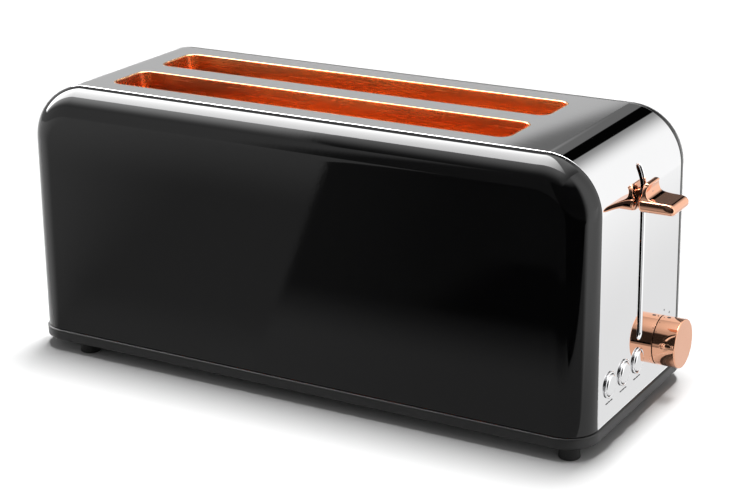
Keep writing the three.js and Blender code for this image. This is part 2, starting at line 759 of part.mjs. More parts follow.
function addChamber() {
  const turnedX = CHAMBER_SPAN[0] + CHAMBER_SPAN[1];
  add("end_plate_far", endPlate(FLOOR_TOP + 6), PLAIN_STEEL, [CHAMBER_START, 0, 0]);
  add("end_plate_control", endPlate(FLOOR_TOP + 1), PLAIN_STEEL, [CHAMBER_END, 0, 0]);
  add("reflector_front", reflector(), REFLECTOR_STEEL, [turnedX, -REFLECTOR_Y, 0], Math.PI);
  add("reflector_rear", reflector(), REFLECTOR_STEEL, [0, REFLECTOR_Y, 0]);
  const slots = [["front", -SLOT_Y], ["rear", SLOT_Y]];
  for (const [row, slotY] of slots) {
    for (const [place, side] of [["outer", Math.sign(slotY)], ["inner", -Math.sign(slotY)]]) {
      const cardY = slotY + side * CARD_OFFSET;
      const ribbonY = cardY - side * (CARD_THICK / 2 + GAP) - (side > 0 ? RIBBON_THICK : 0);
      add(`heater_card_${row}_${place}`, heaterCard(), MICA, [0, cardY, 0]);
      add(`heating_element_${row}_${place}`, heatingElement(), NICHROME, [0, ribbonY, 0]);
      const guardY = slotY + side * GUARD_OFFSET;
      add(`bread_guard_${row}_${place}`, breadGuard(), PLAIN_STEEL, [0, guardY, GUARD_PIVOT_Z]);
    }
  }
}

function addCarriage() {
  add("guide_rod", bar("z", ROD_RADIUS, FLOOR_TOP + GAP, ROD_TOP), PLAIN_STEEL, [ROD_X, 0, 0]);
  add("frame_bridge", frameBridge(), PLAIN_STEEL);
  add("lift_spring", liftSpring(), PLAIN_STEEL, [ROD_X, SPRING_Y, 0]);
  add("carriage_bracket", carriageBracket(), PLAIN_STEEL);
  add("bread_rack_front", breadRack(), PLAIN_STEEL, [0, -SLOT_Y, RACK_TOP]);
  add("bread_rack_rear", breadRack(), PLAIN_STEEL, [0, SLOT_Y, RACK_TOP]);
  add("lever_arm", leverArm(), PLAIN_STEEL);
  add("lever_handle", leverHandle(), COPPER);
  add("armature_plate", armaturePlate(), PLAIN_STEEL);
  add("magnet_core", magnetCore(), PLAIN_STEEL);
  add("magnet_coil", magnetCoil(), MAGNET_WIRE);
}

function addControls() {
  const board = block([BOARD_X, BOARD_X + BOARD_THICK], around(0, BOARD_HALF_WIDTH), BOARD_Z);
  const relay = block([BOARD_X - 14, BOARD_X - GAP], [22, 40], [22, 38]);
  const shaft = bar("x", SHAFT_RADIUS, BOARD_BACK_X + 3 + GAP, SHAFT_END_X, 12);
  add("control_board", board, CIRCUIT_GREEN);
  add("power_relay", relay, SATIN_BLACK);
  add("potentiometer", potentiometer(), PLAIN_STEEL, [0, KNOB_Y, CONTROL_Z]);
  add("knob_shaft", shaft, PLAIN_STEEL, [0, KNOB_Y, CONTROL_Z]);
  add("browning_knob", browningKnob(), COPPER, [HALF_LENGTH + 0.5, KNOB_Y, CONTROL_Z]);
  const pushSwitch = () => block([BOARD_BACK_X, BOARD_BACK_X + 1.9], around(0, 3), around(0, 3));
  BUTTON_Y.forEach((y, i) => {
    const place = [HALF_LENGTH, y, CONTROL_Z];
    add(`button_switch_${i + 1}`, pushSwitch(), SATIN_BLACK, [0, y, CONTROL_Z]);
    add(`button_bezel_${i + 1}`, buttonBezel(), MIRROR_STEEL, place);
    add(`button_cap_${i + 1}`, buttonCap(), MIRROR_STEEL, place);
  });
}

function addCrumbTray() {
  add("crumb_tray", crumbTray(), PLAIN_STEEL);
  add("crumb_tray_handle", crumbTrayHandle(), SATIN_BLACK);
}

addBody();
addChamber();
addCarriage();
addControls();
addCrumbTray();

export default toaster;
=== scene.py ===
"""A long-slot pop up toaster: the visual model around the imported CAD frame. Metres, row frame."""

import json
from collections import defaultdict
from math import asin, cos, pi, radians, sin, sqrt

import bmesh
import bpy
from mathutils import Matrix, Vector, geometry


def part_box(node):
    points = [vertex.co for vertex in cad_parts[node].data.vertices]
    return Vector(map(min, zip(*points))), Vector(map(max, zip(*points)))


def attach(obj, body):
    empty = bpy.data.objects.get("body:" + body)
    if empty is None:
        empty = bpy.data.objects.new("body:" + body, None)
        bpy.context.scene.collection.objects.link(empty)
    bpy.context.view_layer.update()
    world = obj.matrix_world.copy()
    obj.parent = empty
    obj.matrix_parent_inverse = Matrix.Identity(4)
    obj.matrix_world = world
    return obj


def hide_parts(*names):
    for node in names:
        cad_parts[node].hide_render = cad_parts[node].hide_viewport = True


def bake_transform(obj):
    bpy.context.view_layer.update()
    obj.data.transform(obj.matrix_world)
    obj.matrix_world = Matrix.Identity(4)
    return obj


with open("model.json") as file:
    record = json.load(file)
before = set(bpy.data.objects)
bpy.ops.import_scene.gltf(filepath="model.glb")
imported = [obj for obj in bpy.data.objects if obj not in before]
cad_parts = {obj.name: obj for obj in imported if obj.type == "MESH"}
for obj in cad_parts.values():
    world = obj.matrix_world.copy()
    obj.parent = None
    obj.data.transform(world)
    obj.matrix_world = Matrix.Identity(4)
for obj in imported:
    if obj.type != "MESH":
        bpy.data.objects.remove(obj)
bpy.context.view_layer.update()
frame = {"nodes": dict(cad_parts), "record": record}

MM = 0.001

# ---------- sizes read from the frame

WRAP_LOW, WRAP_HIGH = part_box("polished_wrap")
PANEL_LOW, PANEL_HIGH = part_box("side_panel_front")
BASE_LOW, BASE_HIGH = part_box("base_tray")
MID_X = (WRAP_LOW.x + WRAP_HIGH.x) / 2
HALF_LENGTH = (WRAP_HIGH.x - WRAP_LOW.x) / 2
END_X = WRAP_HIGH.x
TOP_Z = WRAP_HIGH.z

# sizes that a box can't tell, the same as in the CAD
BEND_RADIUS = 35.4 * MM
SHEET = 1.2 * MM
SLOT_CORNER = 8 * MM
SLIT_WIDTH = 5.5 * MM
SLIT_LOW, SLIT_TOP = 52 * MM, 161 * MM
BASE_CORNER = 20.5 * MM


# ---------- meshes

def new_object(name, mesh):
    obj = bpy.data.objects.new(name, mesh)
    bpy.context.scene.collection.objects.link(obj)
    return obj


def mesh_object(name, points, faces, normals=None):
    """A smooth-shaded mesh; with normals it gets exactly those, one for each point."""
    mesh = bpy.data.meshes.new(name)
    mesh.from_pydata(points, [], faces)
    mesh.validate()
    mesh.shade_smooth()
    if normals:
        mesh.normals_split_custom_set_from_vertices(normals)
    return new_object(name, mesh)


def spans(node):
    """The low and high corners of a node's box, its middle and half its size."""
    low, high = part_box(node)
    return low, high, (low + high) / 2, (high - low) / 2


def final_mesh(obj):
    """The mesh that the object's modifiers, or a curve's thickness, make."""
    bpy.context.view_layer.update()
    return bpy.data.meshes.new_from_object(obj.evaluated_get(bpy.context.evaluated_depsgraph_get()))


def apply_modifiers(obj):
    done = final_mesh(obj)
    obj.modifiers.clear()
    obj.data = done
    return obj


def even_shading(obj, sharp=35):
    """Flat faces stay flat next to their rounded edges."""
    obj.data.shade_smooth()
    obj.data.set_sharp_from_angle(angle=radians(sharp))
    modifier = obj.modifiers.new("weighted", "WEIGHTED_NORMAL")
    modifier.keep_sharp = True
    modifier.weight = 90
    return apply_modifiers(obj)


def bevelled(obj, width):
    modifier = obj.modifiers.new("bevel", "BEVEL")
    modifier.width = width
    modifier.segments = 2
    modifier.limit_method = "ANGLE"
    modifier.angle_limit = radians(40)
    return even_shading(apply_modifiers(obj))


def joined(name, objects):
    """One object holding all these meshes."""
    mesh = bpy.data.meshes.new(name)
    work = bmesh.new()
    for obj in objects:
        work.from_mesh(obj.data)
        bpy.data.objects.remove(obj)
    work.to_mesh(mesh)
    work.free()
    mesh.shade_smooth()
    return new_object(name, mesh)


def cut_away(obj, cutter):
    modifier = obj.modifiers.new("cut", "BOOLEAN")
    modifier.operation = "DIFFERENCE"
    modifier.object = cutter
    modifier.solver = "EXACT"
    apply_modifiers(obj)
    bpy.data.objects.remove(cutter)
    return obj


def thick_sheet(name, points, normals, faces, thickness, rim_radius):
    """A sheet-metal body: the outer skin given, a rounded rim along its open edges, and the inner skin.

    rim_radius is one number, or a function of a point's index."""
    radius_at = rim_radius if callable(rim_radius) else lambda index: rim_radius
    rim_steps = 5
    faces = [tuple(face) for face in faces]
    directed = {(a, b) for face in faces for a, b in zip(face, face[1:] + face[:1])}
    edges = [(a, b) for a, b in directed if (b, a) not in directed]
    sides = defaultdict(list)
    for a, b in sorted(edges):
        side = (points[b] - points[a]).cross(normals[a]).normalized()
        sides[a].append(side)
        sides[b].append(side)
    points, normals = list(points), list(normals)
    skin = len(points)
    rings = {}
    for index, (first, *rest) in sides.items():
        second = rest[0] if rest else first
        outward = (first + second) / max(0.5, 1 + first.dot(second))
        radius = radius_at(index)
        ring = [index]
        for step in range(1, rim_steps + 2):
            angle = min(step, rim_steps) * pi / 2 / rim_steps
            depth = radius * (1 - cos(angle)) if step <= rim_steps else thickness
            ring.append(len(points))
            points.append(points[index] + outward * radius * sin(angle) - normals[index] * depth)
            turn = angle if step <= rim_steps else 3 * pi / 4
            normals.append((normals[index] * cos(turn) + outward.normalized() * sin(turn)).normalized())
        rings[index] = ring
    for a, b in sorted(edges):
        for step in range(rim_steps + 1):
            faces.append((rings[b][step], rings[a][step], rings[a][step + 1], rings[b][step + 1]))
    inner = {index: ring[-1] for index, ring in rings.items()}
    for index in range(skin):
        if index not in inner:
            inner[index] = len(points)
            points.append(points[index] - normals[index] * thickness)
            normals.append(-normals[index])
    skin_faces = [face for face in faces if all(index < skin for index in face)]
    faces += [tuple(inner[index] for index in reversed(face)) for face in skin_faces]
    return mesh_object(name, points, faces, normals)


def grid_faces(rows, columns, closed=False):
    """Faces of a grid of points, row after row; closed joins each row's last point to its first."""
    faces = []
    for row in range(rows - 1):
        for column in range(columns if closed else columns - 1):
            after = (column + 1) % columns
            start, above = row * columns, (row + 1) * columns
            faces.append((start + column, start + after, above + after, above + column))
    return faces


def arc(centre_a, centre_b, radius, start, end, steps):
    """Points on an arc in a plane, angles in degrees."""
    angles = [radians(start + (end - start) * step / steps) for step in range(steps + 1)]
    return [(centre_a + radius * cos(angle), centre_b + radius * sin(angle)) for angle in angles]


def rounded_outline(half_a, half_b, radius, steps=8):
    """A rounded rectangle about the origin, anticlockwise."""
    a, b = half_a - radius, half_b - radius
    corners = [(a, -b, -90), (a, b, 0), (-a, b, 90), (-a, -b, 180)]
    return [point for x, y, start in corners for point in arc(x, y, radius, start, start + 90, steps)]


def stack(name, levels, steps=8, sharp=35, shaped=tuple):
    """A closed body of rounded rectangles, each level (low x, high x, low y, high y, corner radius, z).

    shaped moves each point of the body before it is shaded."""
    points = []
    for low_x, high_x, low_y, high_y, corner, z in levels:
        outline = rounded_outline((high_x - low_x) / 2, (high_y - low_y) / 2, corner, steps)
        points += [shaped((x + (low_x + high_x) / 2, y + (low_y + high_y) / 2, z)) for x, y in outline]
    count = 4 * (steps + 1)
    faces = grid_faces(len(levels), count, closed=True)
    faces.append(tuple(range(count - 1, -1, -1)))
    faces.append(tuple(range((len(levels) - 1) * count, len(levels) * count)))
    return even_shading(mesh_object(name, points, faces), sharp)


def loop_stack(name, centre, half, corner, levels, steps=8):
    """A closed body of one rounded rectangle, grown or shrunk; levels are (outset, z), bottom first."""
    (x, y), (a, b) = centre[:2], half[:2]
    return stack(name, [(x - a - out, x + a + out, y - b - out, y + b + out, max(corner + out, 0.05 * MM), z)
                        for out, z in levels], steps)


def soft_block(name, low, high, corner, edge, steps=4):
    """A block with rounded upright corners and rounded upper and lower edges."""
    low, high = Vector(low), Vector(high)
    below = arc(-edge, low.z + edge, edge, -90, 0, steps)
    above = arc(-edge, high.z - edge, edge, 0, 90, steps)
    return loop_stack(name, (low + high) / 2, (high - low) / 2, corner, below + above)


def lathe(name, axis, centre, profile, segments):
    """A turned body about a line along "x" or "z" through centre; profile is (radius, place on that axis)."""
    points, faces, rings = [], [], []
    for radius, place in profile:
        count = 1 if radius == 0 else segments
        rings.append(range(len(points), len(points) + count))
        for step in range(count):
            angle = 2 * pi * step / segments
            a, b = radius * cos(angle), radius * sin(angle)
            if axis == "x":
                points.append((place, centre[1] + a, centre[2] + b))
            else:
                points.append((centre[0] + a, centre[1] + b, place))
    for low, high in zip(rings, rings[1:]):
        for step in range(segments):
            after = (step + 1) % segments
            corners = ((low, step), (low, after), (high, after), (high, step))
            faces.append(tuple(dict.fromkeys(ring[i % len(ring)] for ring, i in corners)))
    return even_shading(face_outward(mesh_object(name, points, faces)), sharp=50)


def face_outward(obj):
    work = bmesh.new()
    work.from_mesh(obj.data)
    bmesh.ops.recalc_face_normals(work, faces=work.faces)
    work.to_mesh(obj.data)
    work.free()
    return obj


def extruded(name, loops, depths, place):
    """A solid from each flat loop; place(a, b, depth) gives the point of a loop's (a, b) at a depth."""
    points, faces = [], []
    for loop in loops:
        start, count = len(points), len(loop)
        points += [place(a, b, depth) for depth in depths for a, b in loop]
        faces.append(tuple(range(start + count - 1, start - 1, -1)))
        faces.append(tuple(range(start + count, start + 2 * count)))
        for i in range(count):
            after = (i + 1) % count
            faces.append((start + i, start + after, start + count + after, start + count + i))
    return face_outward(mesh_object(name, points, faces))


def wires(name, paths, radius, sides, cyclic=False):
    """Round wire along each path, as one mesh."""
    curve = bpy.data.curves.new(name, "CURVE")
    curve.dimensions = "3D"
    curve.bevel_depth = radius
    curve.bevel_resolution = sides
    curve.use_fill_caps = True
    for path in paths:
        spline = curve.splines.new("POLY")
        spline.points.add(len(path) - 1)
        for point, place in zip(spline.points, path):
            point.co = (*place, 1)
        spline.use_cyclic_u = cyclic
        spline.use_smooth = True
    obj = new_object(name, curve)
    mesh = final_mesh(obj)
    bpy.data.objects.remove(obj)
    mesh.shade_smooth()
    return new_object(name, mesh)


def rounded_path(points, radius, steps=6):
    """The path through these points with its corners rounded."""
    points = [Vector(point) for point in points]
    path = [points[0]]
    for before, corner, after in zip(points, points[1:], points[2:]):
        start = corner + (before - corner).normalized() * radius
        end = corner + (after - corner).normalized() * radius
        for step in range(steps + 1):
            t = step / steps
            path.append((1 - t) ** 2 * start + 2 * t * (1 - t) * corner + t * t * end)
    path.append(points[-1])
    return path


# ---------- materials

class Look:
    """A principled material whose inputs come from procedural nodes in the part's own coordinates."""

    def __init__(self, name, metallic=0.0):
        self.material = bpy.data.materials.new(name)
        self.material.use_nodes = True
        self.tree = self.material.node_tree
        self.shader = self.tree.nodes["Principled BSDF"]
        self.place = self.tree.nodes.new("ShaderNodeTexCoord").outputs["Object"]
        self.setting("Metallic", metallic)

    def node(self, kind, **inputs):
        made = self.tree.nodes.new(kind)
        for name, value in inputs.items():
            socket = made.inputs[name.replace("_", " ")]
            if isinstance(value, bpy.types.NodeSocket):
                self.tree.links.new(value, socket)
            else:
                socket.default_value = value
        return made

    def noise(self, scale, detail=2.0, place=None, distortion=0.0):
        made = self.node("ShaderNodeTexNoise", Vector=place or self.place, Scale=scale, Detail=detail,
                         Distortion=distortion)
        return made.outputs["Fac"]

    def lines(self, x, y, z, detail=3):
        """Noise scaled along each axis, so that it runs in lines."""
        mapping = self.node("ShaderNodeMapping", Vector=self.place, Scale=(x, y, z))
        return self.noise(1, detail, mapping.outputs["Vector"])

    def cells(self, scale, output="Distance"):
        return self.node("ShaderNodeTexVoronoi", Vector=self.place, Scale=scale).outputs[output]

    def tones(self, value, *stops):
        """A colour ramp; each stop is (place, (r, g, b))."""
        ramp = self.node("ShaderNodeValToRGB", Fac=value)
        elements = ramp.color_ramp.elements
        while len(elements) < len(stops):
            elements.new(0.5)
        for element, (place, color) in zip(elements, stops):
            element.position = place
            element.color = (*color, 1)
        return ramp.outputs["Color"]

    def linked(self, name, value):
        self.tree.links.new(value, self.shader.inputs[name])
        return self

    def setting(self, name, value):
        self.shader.inputs[name].default_value = value
        return self

    def color(self, value, *stops):
        return self.linked("Base Color", self.tones(value, *stops))

    def roughness(self, value, low, high):
        """From low to high as value goes from 0 to 1."""
        made = self.node("ShaderNodeMapRange", Value=value, To_Min=low, To_Max=high)
        return self.linked("Roughness", made.outputs["Result"])

    def bump(self, height, strength, distance):
        made = self.node("ShaderNodeBump", Height=height, Strength=strength, Distance=distance)
        return self.linked("Normal", made.outputs["Normal"])


def grey(value, tint=0.0):
    return (value, value, value * (1 + tint))


def black_enamel():
    look = Look("black_enamel")
    look.color(look.noise(6, 3), (0.3, grey(0.001, 0.1)), (0.7, grey(0.0018, 0.1)))
    look.roughness(look.noise(60, 4), 0.02, 0.055)
    return look.bump(look.noise(420, 1), 0.012, 0.6 * MM).material


def polished(name, tone, line_strength):
    """Mirror-polished steel or chrome: faint polishing lines and a very slight unevenness."""
    look = Look(name, metallic=1.0)
    look.color(look.noise(9, 3), (0.3, grey(tone - 0.015, 0.006)), (0.7, grey(tone, 0.008)))
    lines = look.lines(40, 1400, 1400)
    look.roughness(lines, 0.015, 0.05)
    return look.bump(lines, line_strength, 0.02 * MM).material


def plain_steel():
    look = Look("plain_steel", metallic=1.0)
    look.color(look.cells(260, "Color"), (0.2, grey(0.46, 0.02)), (0.8, grey(0.6, 0.03)))
    lines = look.lines(900, 900, 30, detail=4)
    look.roughness(lines, 0.26, 0.46)
    return look.bump(lines, 0.08, 0.05 * MM).material


def rack_steel():
    look = Look("rack_steel", metallic=1.0)
    look.color(look.noise(22, 4), (0.3, (0.55, 0.53, 0.5)), (0.55, (0.5, 0.4, 0.28)),
               (0.75, (0.3, 0.24, 0.3)))
    look.roughness(look.noise(500, 2), 0.22, 0.42)
    return look.bump(look.noise(1800, 2), 0.1, 0.03 * MM).material


def reflector_steel():
    look = Look("reflector_steel", metallic=1.0)
    # The orange colour is partly the steel's heat tint and partly a painted reflection of the glowing
    # ribbons.
    look.color(look.noise(7, 3, distortion=0.4), (0.25, (0.78, 0.52, 0.3)), (0.5, (0.72, 0.38, 0.17)),
               (0.75, (0.5, 0.24, 0.16)))
    lines = look.lines(25, 700, 700)
    look.roughness(lines, 0.18, 0.34)
    return look.bump(lines, 0.05, 0.05 * MM).material


def satin_black():
    look = Look("satin_black")
    look.color(look.noise(18, 3), (0.3, grey(0.011, 0.02)), (0.7, grey(0.016, 0.02)))
    grain = look.noise(2600, 2)
    look.roughness(grain, 0.36, 0.5)
    return look.bump(grain, 0.12, 0.06 * MM).material


def black_rubber():
    look = Look("black_rubber")
    look.color(look.noise(90, 3), (0.3, grey(0.009)), (0.7, grey(0.016)))
    look.roughness(look.noise(800, 2), 0.66, 0.85)
    return look.bump(look.cells(1500), 0.15, 0.08 * MM).material


def copper():
    look = Look("copper", metallic=1.0)
    look.color(look.noise(30, 3), (0.3, (0.9, 0.46, 0.29)), (0.7, (0.94, 0.5, 0.33)))
    lines = look.lines(1500, 60, 1500)
    look.roughness(lines, 0.035, 0.085)
    return look.bump(lines, 0.02, 0.02 * MM).material


def mica():
    look = Look("mica")
    flakes = look.cells(90, "Color")
    clouds = look.noise(28, 5, distortion=0.8)
    mixed = look.node("ShaderNodeMath", Value=clouds)
    mixed.operation = "MULTIPLY_ADD"
    mixed.inputs[1].default_value = 0.8
    look.tree.links.new(flakes, mixed.inputs[2])
    look.color(mixed.outputs["Value"], (0.3, (0.5, 0.38, 0.22)), (0.9, (0.34, 0.24, 0.13)))
    look.roughness(clouds, 0.3, 0.55)
    return look.bump(flakes, 0.1, 0.05 * MM).material


def glowing_nichrome():
    look = Look("nichrome", metallic=1.0)
    heat = look.noise(35, 3)
    look.color(heat, (0.3, (0.2, 0.06, 0.03)), (0.7, (0.35, 0.1, 0.04)))
    look.roughness(look.noise(600, 2), 0.4, 0.6)
    look.linked("Emission Color", look.tones(heat, (0.25, (1.0, 0.12, 0.01)), (0.75, (1.0, 0.24, 0.04))))
    return look.setting("Emission Strength", GLOW).material


def circuit_green():
    look = Look("circuit_green")
    brick = look.node("ShaderNodeTexBrick", Vector=look.place, Scale=60.0, Mortar_Size=0.06,
                      Color1=(0.006, 0.07, 0.025, 1), Color2=(0.008, 0.09, 0.03, 1),
                      Mortar=(0.02, 0.16, 0.06, 1))
    look.linked("Base Color", brick.outputs["Color"])
    look.roughness(look.noise(300, 2), 0.25, 0.4)
    return look.bump(brick.outputs["Fac"], 0.2, 0.05 * MM).material


def magnet_wire():
    look = Look("magnet_wire", metallic=0.7)
    wave = look.node("ShaderNodeTexWave", Vector=look.place, Scale=1000)
    wave.bands_direction = "Z"
    turns = wave.outputs["Fac"]
    look.color(turns, (0.1, (0.16, 0.045, 0.015)), (0.6, (0.5, 0.18, 0.07)))
    look.roughness(look.noise(500, 2), 0.22, 0.4)
    return look.bump(turns, 0.6, 0.2 * MM).material


GLOW = 16.0
LOOKS = {
    "black_enamel": black_enamel(),
    "mirror_steel": polished("mirror_steel", 0.87, 0.02),
    "chrome_trim": polished("chrome_trim", 0.88, 0.03),
    "plain_steel": plain_steel(),
    "rack_steel": rack_steel(),
    "reflector_steel": reflector_steel(),
    "satin_black": satin_black(),
    "black_rubber": black_rubber(),
    "copper": copper(),
    "mica": mica(),
    "nichrome": glowing_nichrome(),
    "circuit_green": circuit_green(),
    "magnet_wire": magnet_wire(),
}
BODY_OF = {node: body for body, nodes in frame["record"]["behaviour"]["bodies"].items() for node in nodes}


def finish_piece(obj, slot, body, *nodes):
    """Gives a piece its material, its body and its material slot, and hides the CAD nodes it stands for."""
    obj.data.materials.clear()
    obj.data.materials.append(LOOKS[slot])
    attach(obj, body)
    if nodes:
        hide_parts(*nodes)
    return obj


def stand_for(obj, slot, node):
    """The piece takes the place of one CAD node, on the same body."""
    return finish_piece(obj, slot, BODY_OF[node], node)


def fit(shape, name, slot, node):
    """Makes a piece by shape(name, node) and puts it in that node's place."""
    stand_for(shape(name, node), slot, node)


def dress_cad_nodes():
    """Every CAD node gets its slot's procedural material."""
    slots = {part["node"]: part["material_slot"] for part in frame["record"]["subparts"]}
    for name, obj in frame["nodes"].items():
        obj.data.materials.clear()
        obj.data.materials.append(LOOKS[slots[name]])


# ---------- outer body

class Arch:
    """The body's outline from the front: up one end, round a bend, over the top and down the other end."""

    def __init__(self, low_z, inset=0.0):
        self.end = HALF_LENGTH - inset
        self.radius = BEND_RADIUS - inset
        self.centre_x = HALF_LENGTH - BEND_RADIUS
        self.centre_z = TOP_Z - BEND_RADIUS
        self.low_z = low_z
        self.rise = self.centre_z - low_z
        self.bend = self.radius * pi / 2
        self.top = 2 * self.centre_x
        self.length = 2 * self.rise + 2 * self.bend + self.top

    def at(self, s):
        """The place (x, z) and the outward direction (x, z) at a length s along the outline."""
        if s > self.length / 2:
            (x, z), (nx, nz) = self.at(self.length - s)
            return (2 * MID_X - x, z), (-nx, nz)
        if s <= self.rise:
            return (MID_X - self.end, self.low_z + s), (-1, 0)
        angle = min((s - self.rise) / self.radius, pi / 2)
        along = max(0, s - self.rise - self.bend)
        x = MID_X - self.centre_x - self.radius * cos(angle) + along
        return (x, self.centre_z + self.radius * sin(angle)), (-cos(angle), sin(angle))

    def stations(self):
        """Lengths along the outline that follow its bends closely."""
        count = 30
        first = [self.rise + self.bend * i / count for i in range(count + 1)]
        return [0, *first, *[self.length - s for s in reversed(first)], self.length]

    def at_end_height(self, z):
        """The length s of a height on the end with the controls."""
        if z <= self.centre_z:
            return self.length - (z - self.low_z)
        return self.length - self.rise - self.radius * asin((z - self.centre_z) / self.radius)

    def at_top(self, x):
        return self.rise + self.bend + (x - MID_X + self.centre_x)


def inside(point, loop):
    """Whether a point in the plane lies inside a closed loop of points."""
    found = False
    for (ax, ay), (bx, by) in zip(loop, loop[1:] + loop[:1]):
        if (ay > point[1]) != (by > point[1]):
            if point[0] < ax + (bx - ax) * (point[1] - ay) / (by - ay):
                found = not found
    return found


def shifted(loop, a, b):
    return [(x + a, y + b) for x, y in loop]


def wrap_holes(arch):
    """Each hole in the wrap as (loop in the unrolled sheet, radius of its rolled rim)."""
    holes = []
    for node in ("slot_liner_front", "slot_liner_rear"):
        _, _, middle, half = spans(node)
        rim = 0.12 * MM
        loop = rounded_outline(half.x + rim, half.y + rim, SLOT_CORNER + rim, 10)
        holes.append((shifted(loop, arch.at_top(middle.x), middle.y), rim))
    rim = 1.7 * MM
    ends = [arch.at_end_height(SLIT_LOW), arch.at_end_height(SLIT_TOP)]
    half_width = SLIT_WIDTH / 2 + rim
    half_length = (max(ends) - min(ends)) / 2 + rim
    slit = rounded_outline(half_length, half_width, half_width - 0.01 * MM, 12)
    holes.append((shifted(slit, sum(ends) / 2, 0), rim))
    rim = 0.3 * MM

    def add_round_hole(s, y, radius):
        holes.append((shifted(arc(0, 0, radius + rim, 0, 360, 48)[:-1], s, y), rim))

    for node, clearance in [(f"button_bezel_{i}", -0.4 * MM) for i in (1, 2, 3)] + [("knob_shaft", 1 * MM)]:
        _, _, middle, half = spans(node)
        add_round_hole(arch.at_end_height(middle.z), middle.y, half.y + clearance)
    gland = spans("cord_gland")[2]
    add_round_hole(gland.z - arch.low_z, gland.y, 5.3 * MM)
    return holes


def polished_wrap():
    edge = 0.45 * MM
    arch = Arch(WRAP_LOW.z + edge)
    holes = wrap_holes(arch)
    half = (WRAP_HIGH.y - WRAP_LOW.y) / 2 - edge
    stations = arch.stations()
    near = [Vector((s, -half)) for s in stations]
    far = [Vector((s, half)) for s in stations]
    flat = near + far
    count = len(stations)
    edges = [(i, i + count) for i in range(count)]
    edges += [(i, i + 1) for i in range(count - 1)] + [(i + count, i + count + 1) for i in range(count - 1)]
    for loop, _ in holes:
        start = len(flat)
        flat += [Vector(point) for point in loop]
        edges += [(start + i, start + (i + 1) % len(loop)) for i in range(len(loop))]
    flat, _, triangles, *_ = geometry.delaunay_2d_cdt(flat, edges, [], 0, 1e-7)
    faces = []
    for triangle in triangles:
        middle = sum((flat[i] for i in triangle), Vector((0, 0))) / 3
        if abs(middle.y) < half and not any(inside(middle, loop) for loop, _ in holes):
            faces.append(list(triangle))
    points, normals = [], []
    for s, y in flat:
        (x, z), (nx, nz) = arch.at(s)
        points.append(Vector((x, y, z)))
        normals.append(Vector((nx, 0, nz)))

    def rim_radius(index):
        for loop, radius in holes:
            spans = zip(flat[index], zip(*loop))
            if all(min(span) - 0.1 * MM <= value <= max(span) + 0.1 * MM for value, span in spans):
                return radius
        return edge

    return thick_sheet("polished_wrap_skin", points, normals, faces, SHEET, rim_radius)


def cover(name, side):
    """A long cover, rounded on all its outer edges; side is -1 at the front and 1 at the rear."""
    fold = 0.5 * MM
    start_y = -PANEL_HIGH.y + fold
    reach = -PANEL_LOW.y + PANEL_HIGH.y
    low_z = PANEL_LOW.z + fold
    points, normals = [], []
    rows = 31
    for row in range(rows):
        angle = pi / 2 * row / (rows - 1)
        arch = Arch(low_z, reach * (1 - cos(angle)))
        y = max(start_y, start_y - fold + reach * sin(angle))
        for s in arch.stations():
            (x, z), (nx, nz) = arch.at(s)
            points.append(Vector((x, side * y, z)))
            normals.append(Vector((nx * cos(angle), side * sin(angle), nz * cos(angle))))
    columns = len(points) // rows
    faces = grid_faces(rows, columns) + [tuple(range((rows - 1) * columns, rows * columns))]
    if side < 0:
        faces = [tuple(reversed(face)) for face in faces]
    return thick_sheet(name, points, normals, faces, SHEET, fold)


def ring_body(name, node, section):
    """A section of (outset from a bread slot's outline, z) carried round that slot."""
    _, _, middle, half = spans(node)
    points = []
    for outset, z in section:
        outline = rounded_outline(half.x + outset, half.y + outset, SLOT_CORNER + outset, 10)
        points += [(x, y, z) for x, y in shifted(outline, middle.x, middle.y)]
    count = len(outline)
    faces = grid_faces(len(section), count, closed=True)
    last = (len(section) - 1) * count
    faces += [(last + i, last + (i + 1) % count, (i + 1) % count, i) for i in range(count)]
    return even_shading(face_outward(mesh_object(name, points, faces)), sharp=60)


def slot_lip(name, node):
    """The rim of a bread slot, flush with the top and rolled down inside."""
    radius, outer, top = 0.7 * MM, 0.5 * MM, TOP_Z + 0.03 * MM
    roll = [(outer, top - radius), (outer, top), *arc(-0.1 * MM, top - radius, radius, 90, 200, 10)]
    return ring_body(name, node, roll)


def slot_wall(name, node):
    """The sheet that goes down inside a bread slot; its orange is heat tint together with a painted
    reflection of the ribbons' glow.
    """
    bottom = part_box(node)[0].z
    top, neck = TOP_Z - 0.7 * MM, TOP_Z - 6 * MM
    section = [(-0.6 * MM, top), (-1.1 * MM, neck), (-1.5 * MM, bottom + 0.6 * MM), (-1.2 * MM, bottom),
               (-0.9 * MM, bottom + 0.3 * MM), (-0.3 * MM, neck), (-0.05 * MM, top)]
    return ring_body(name, node, section)


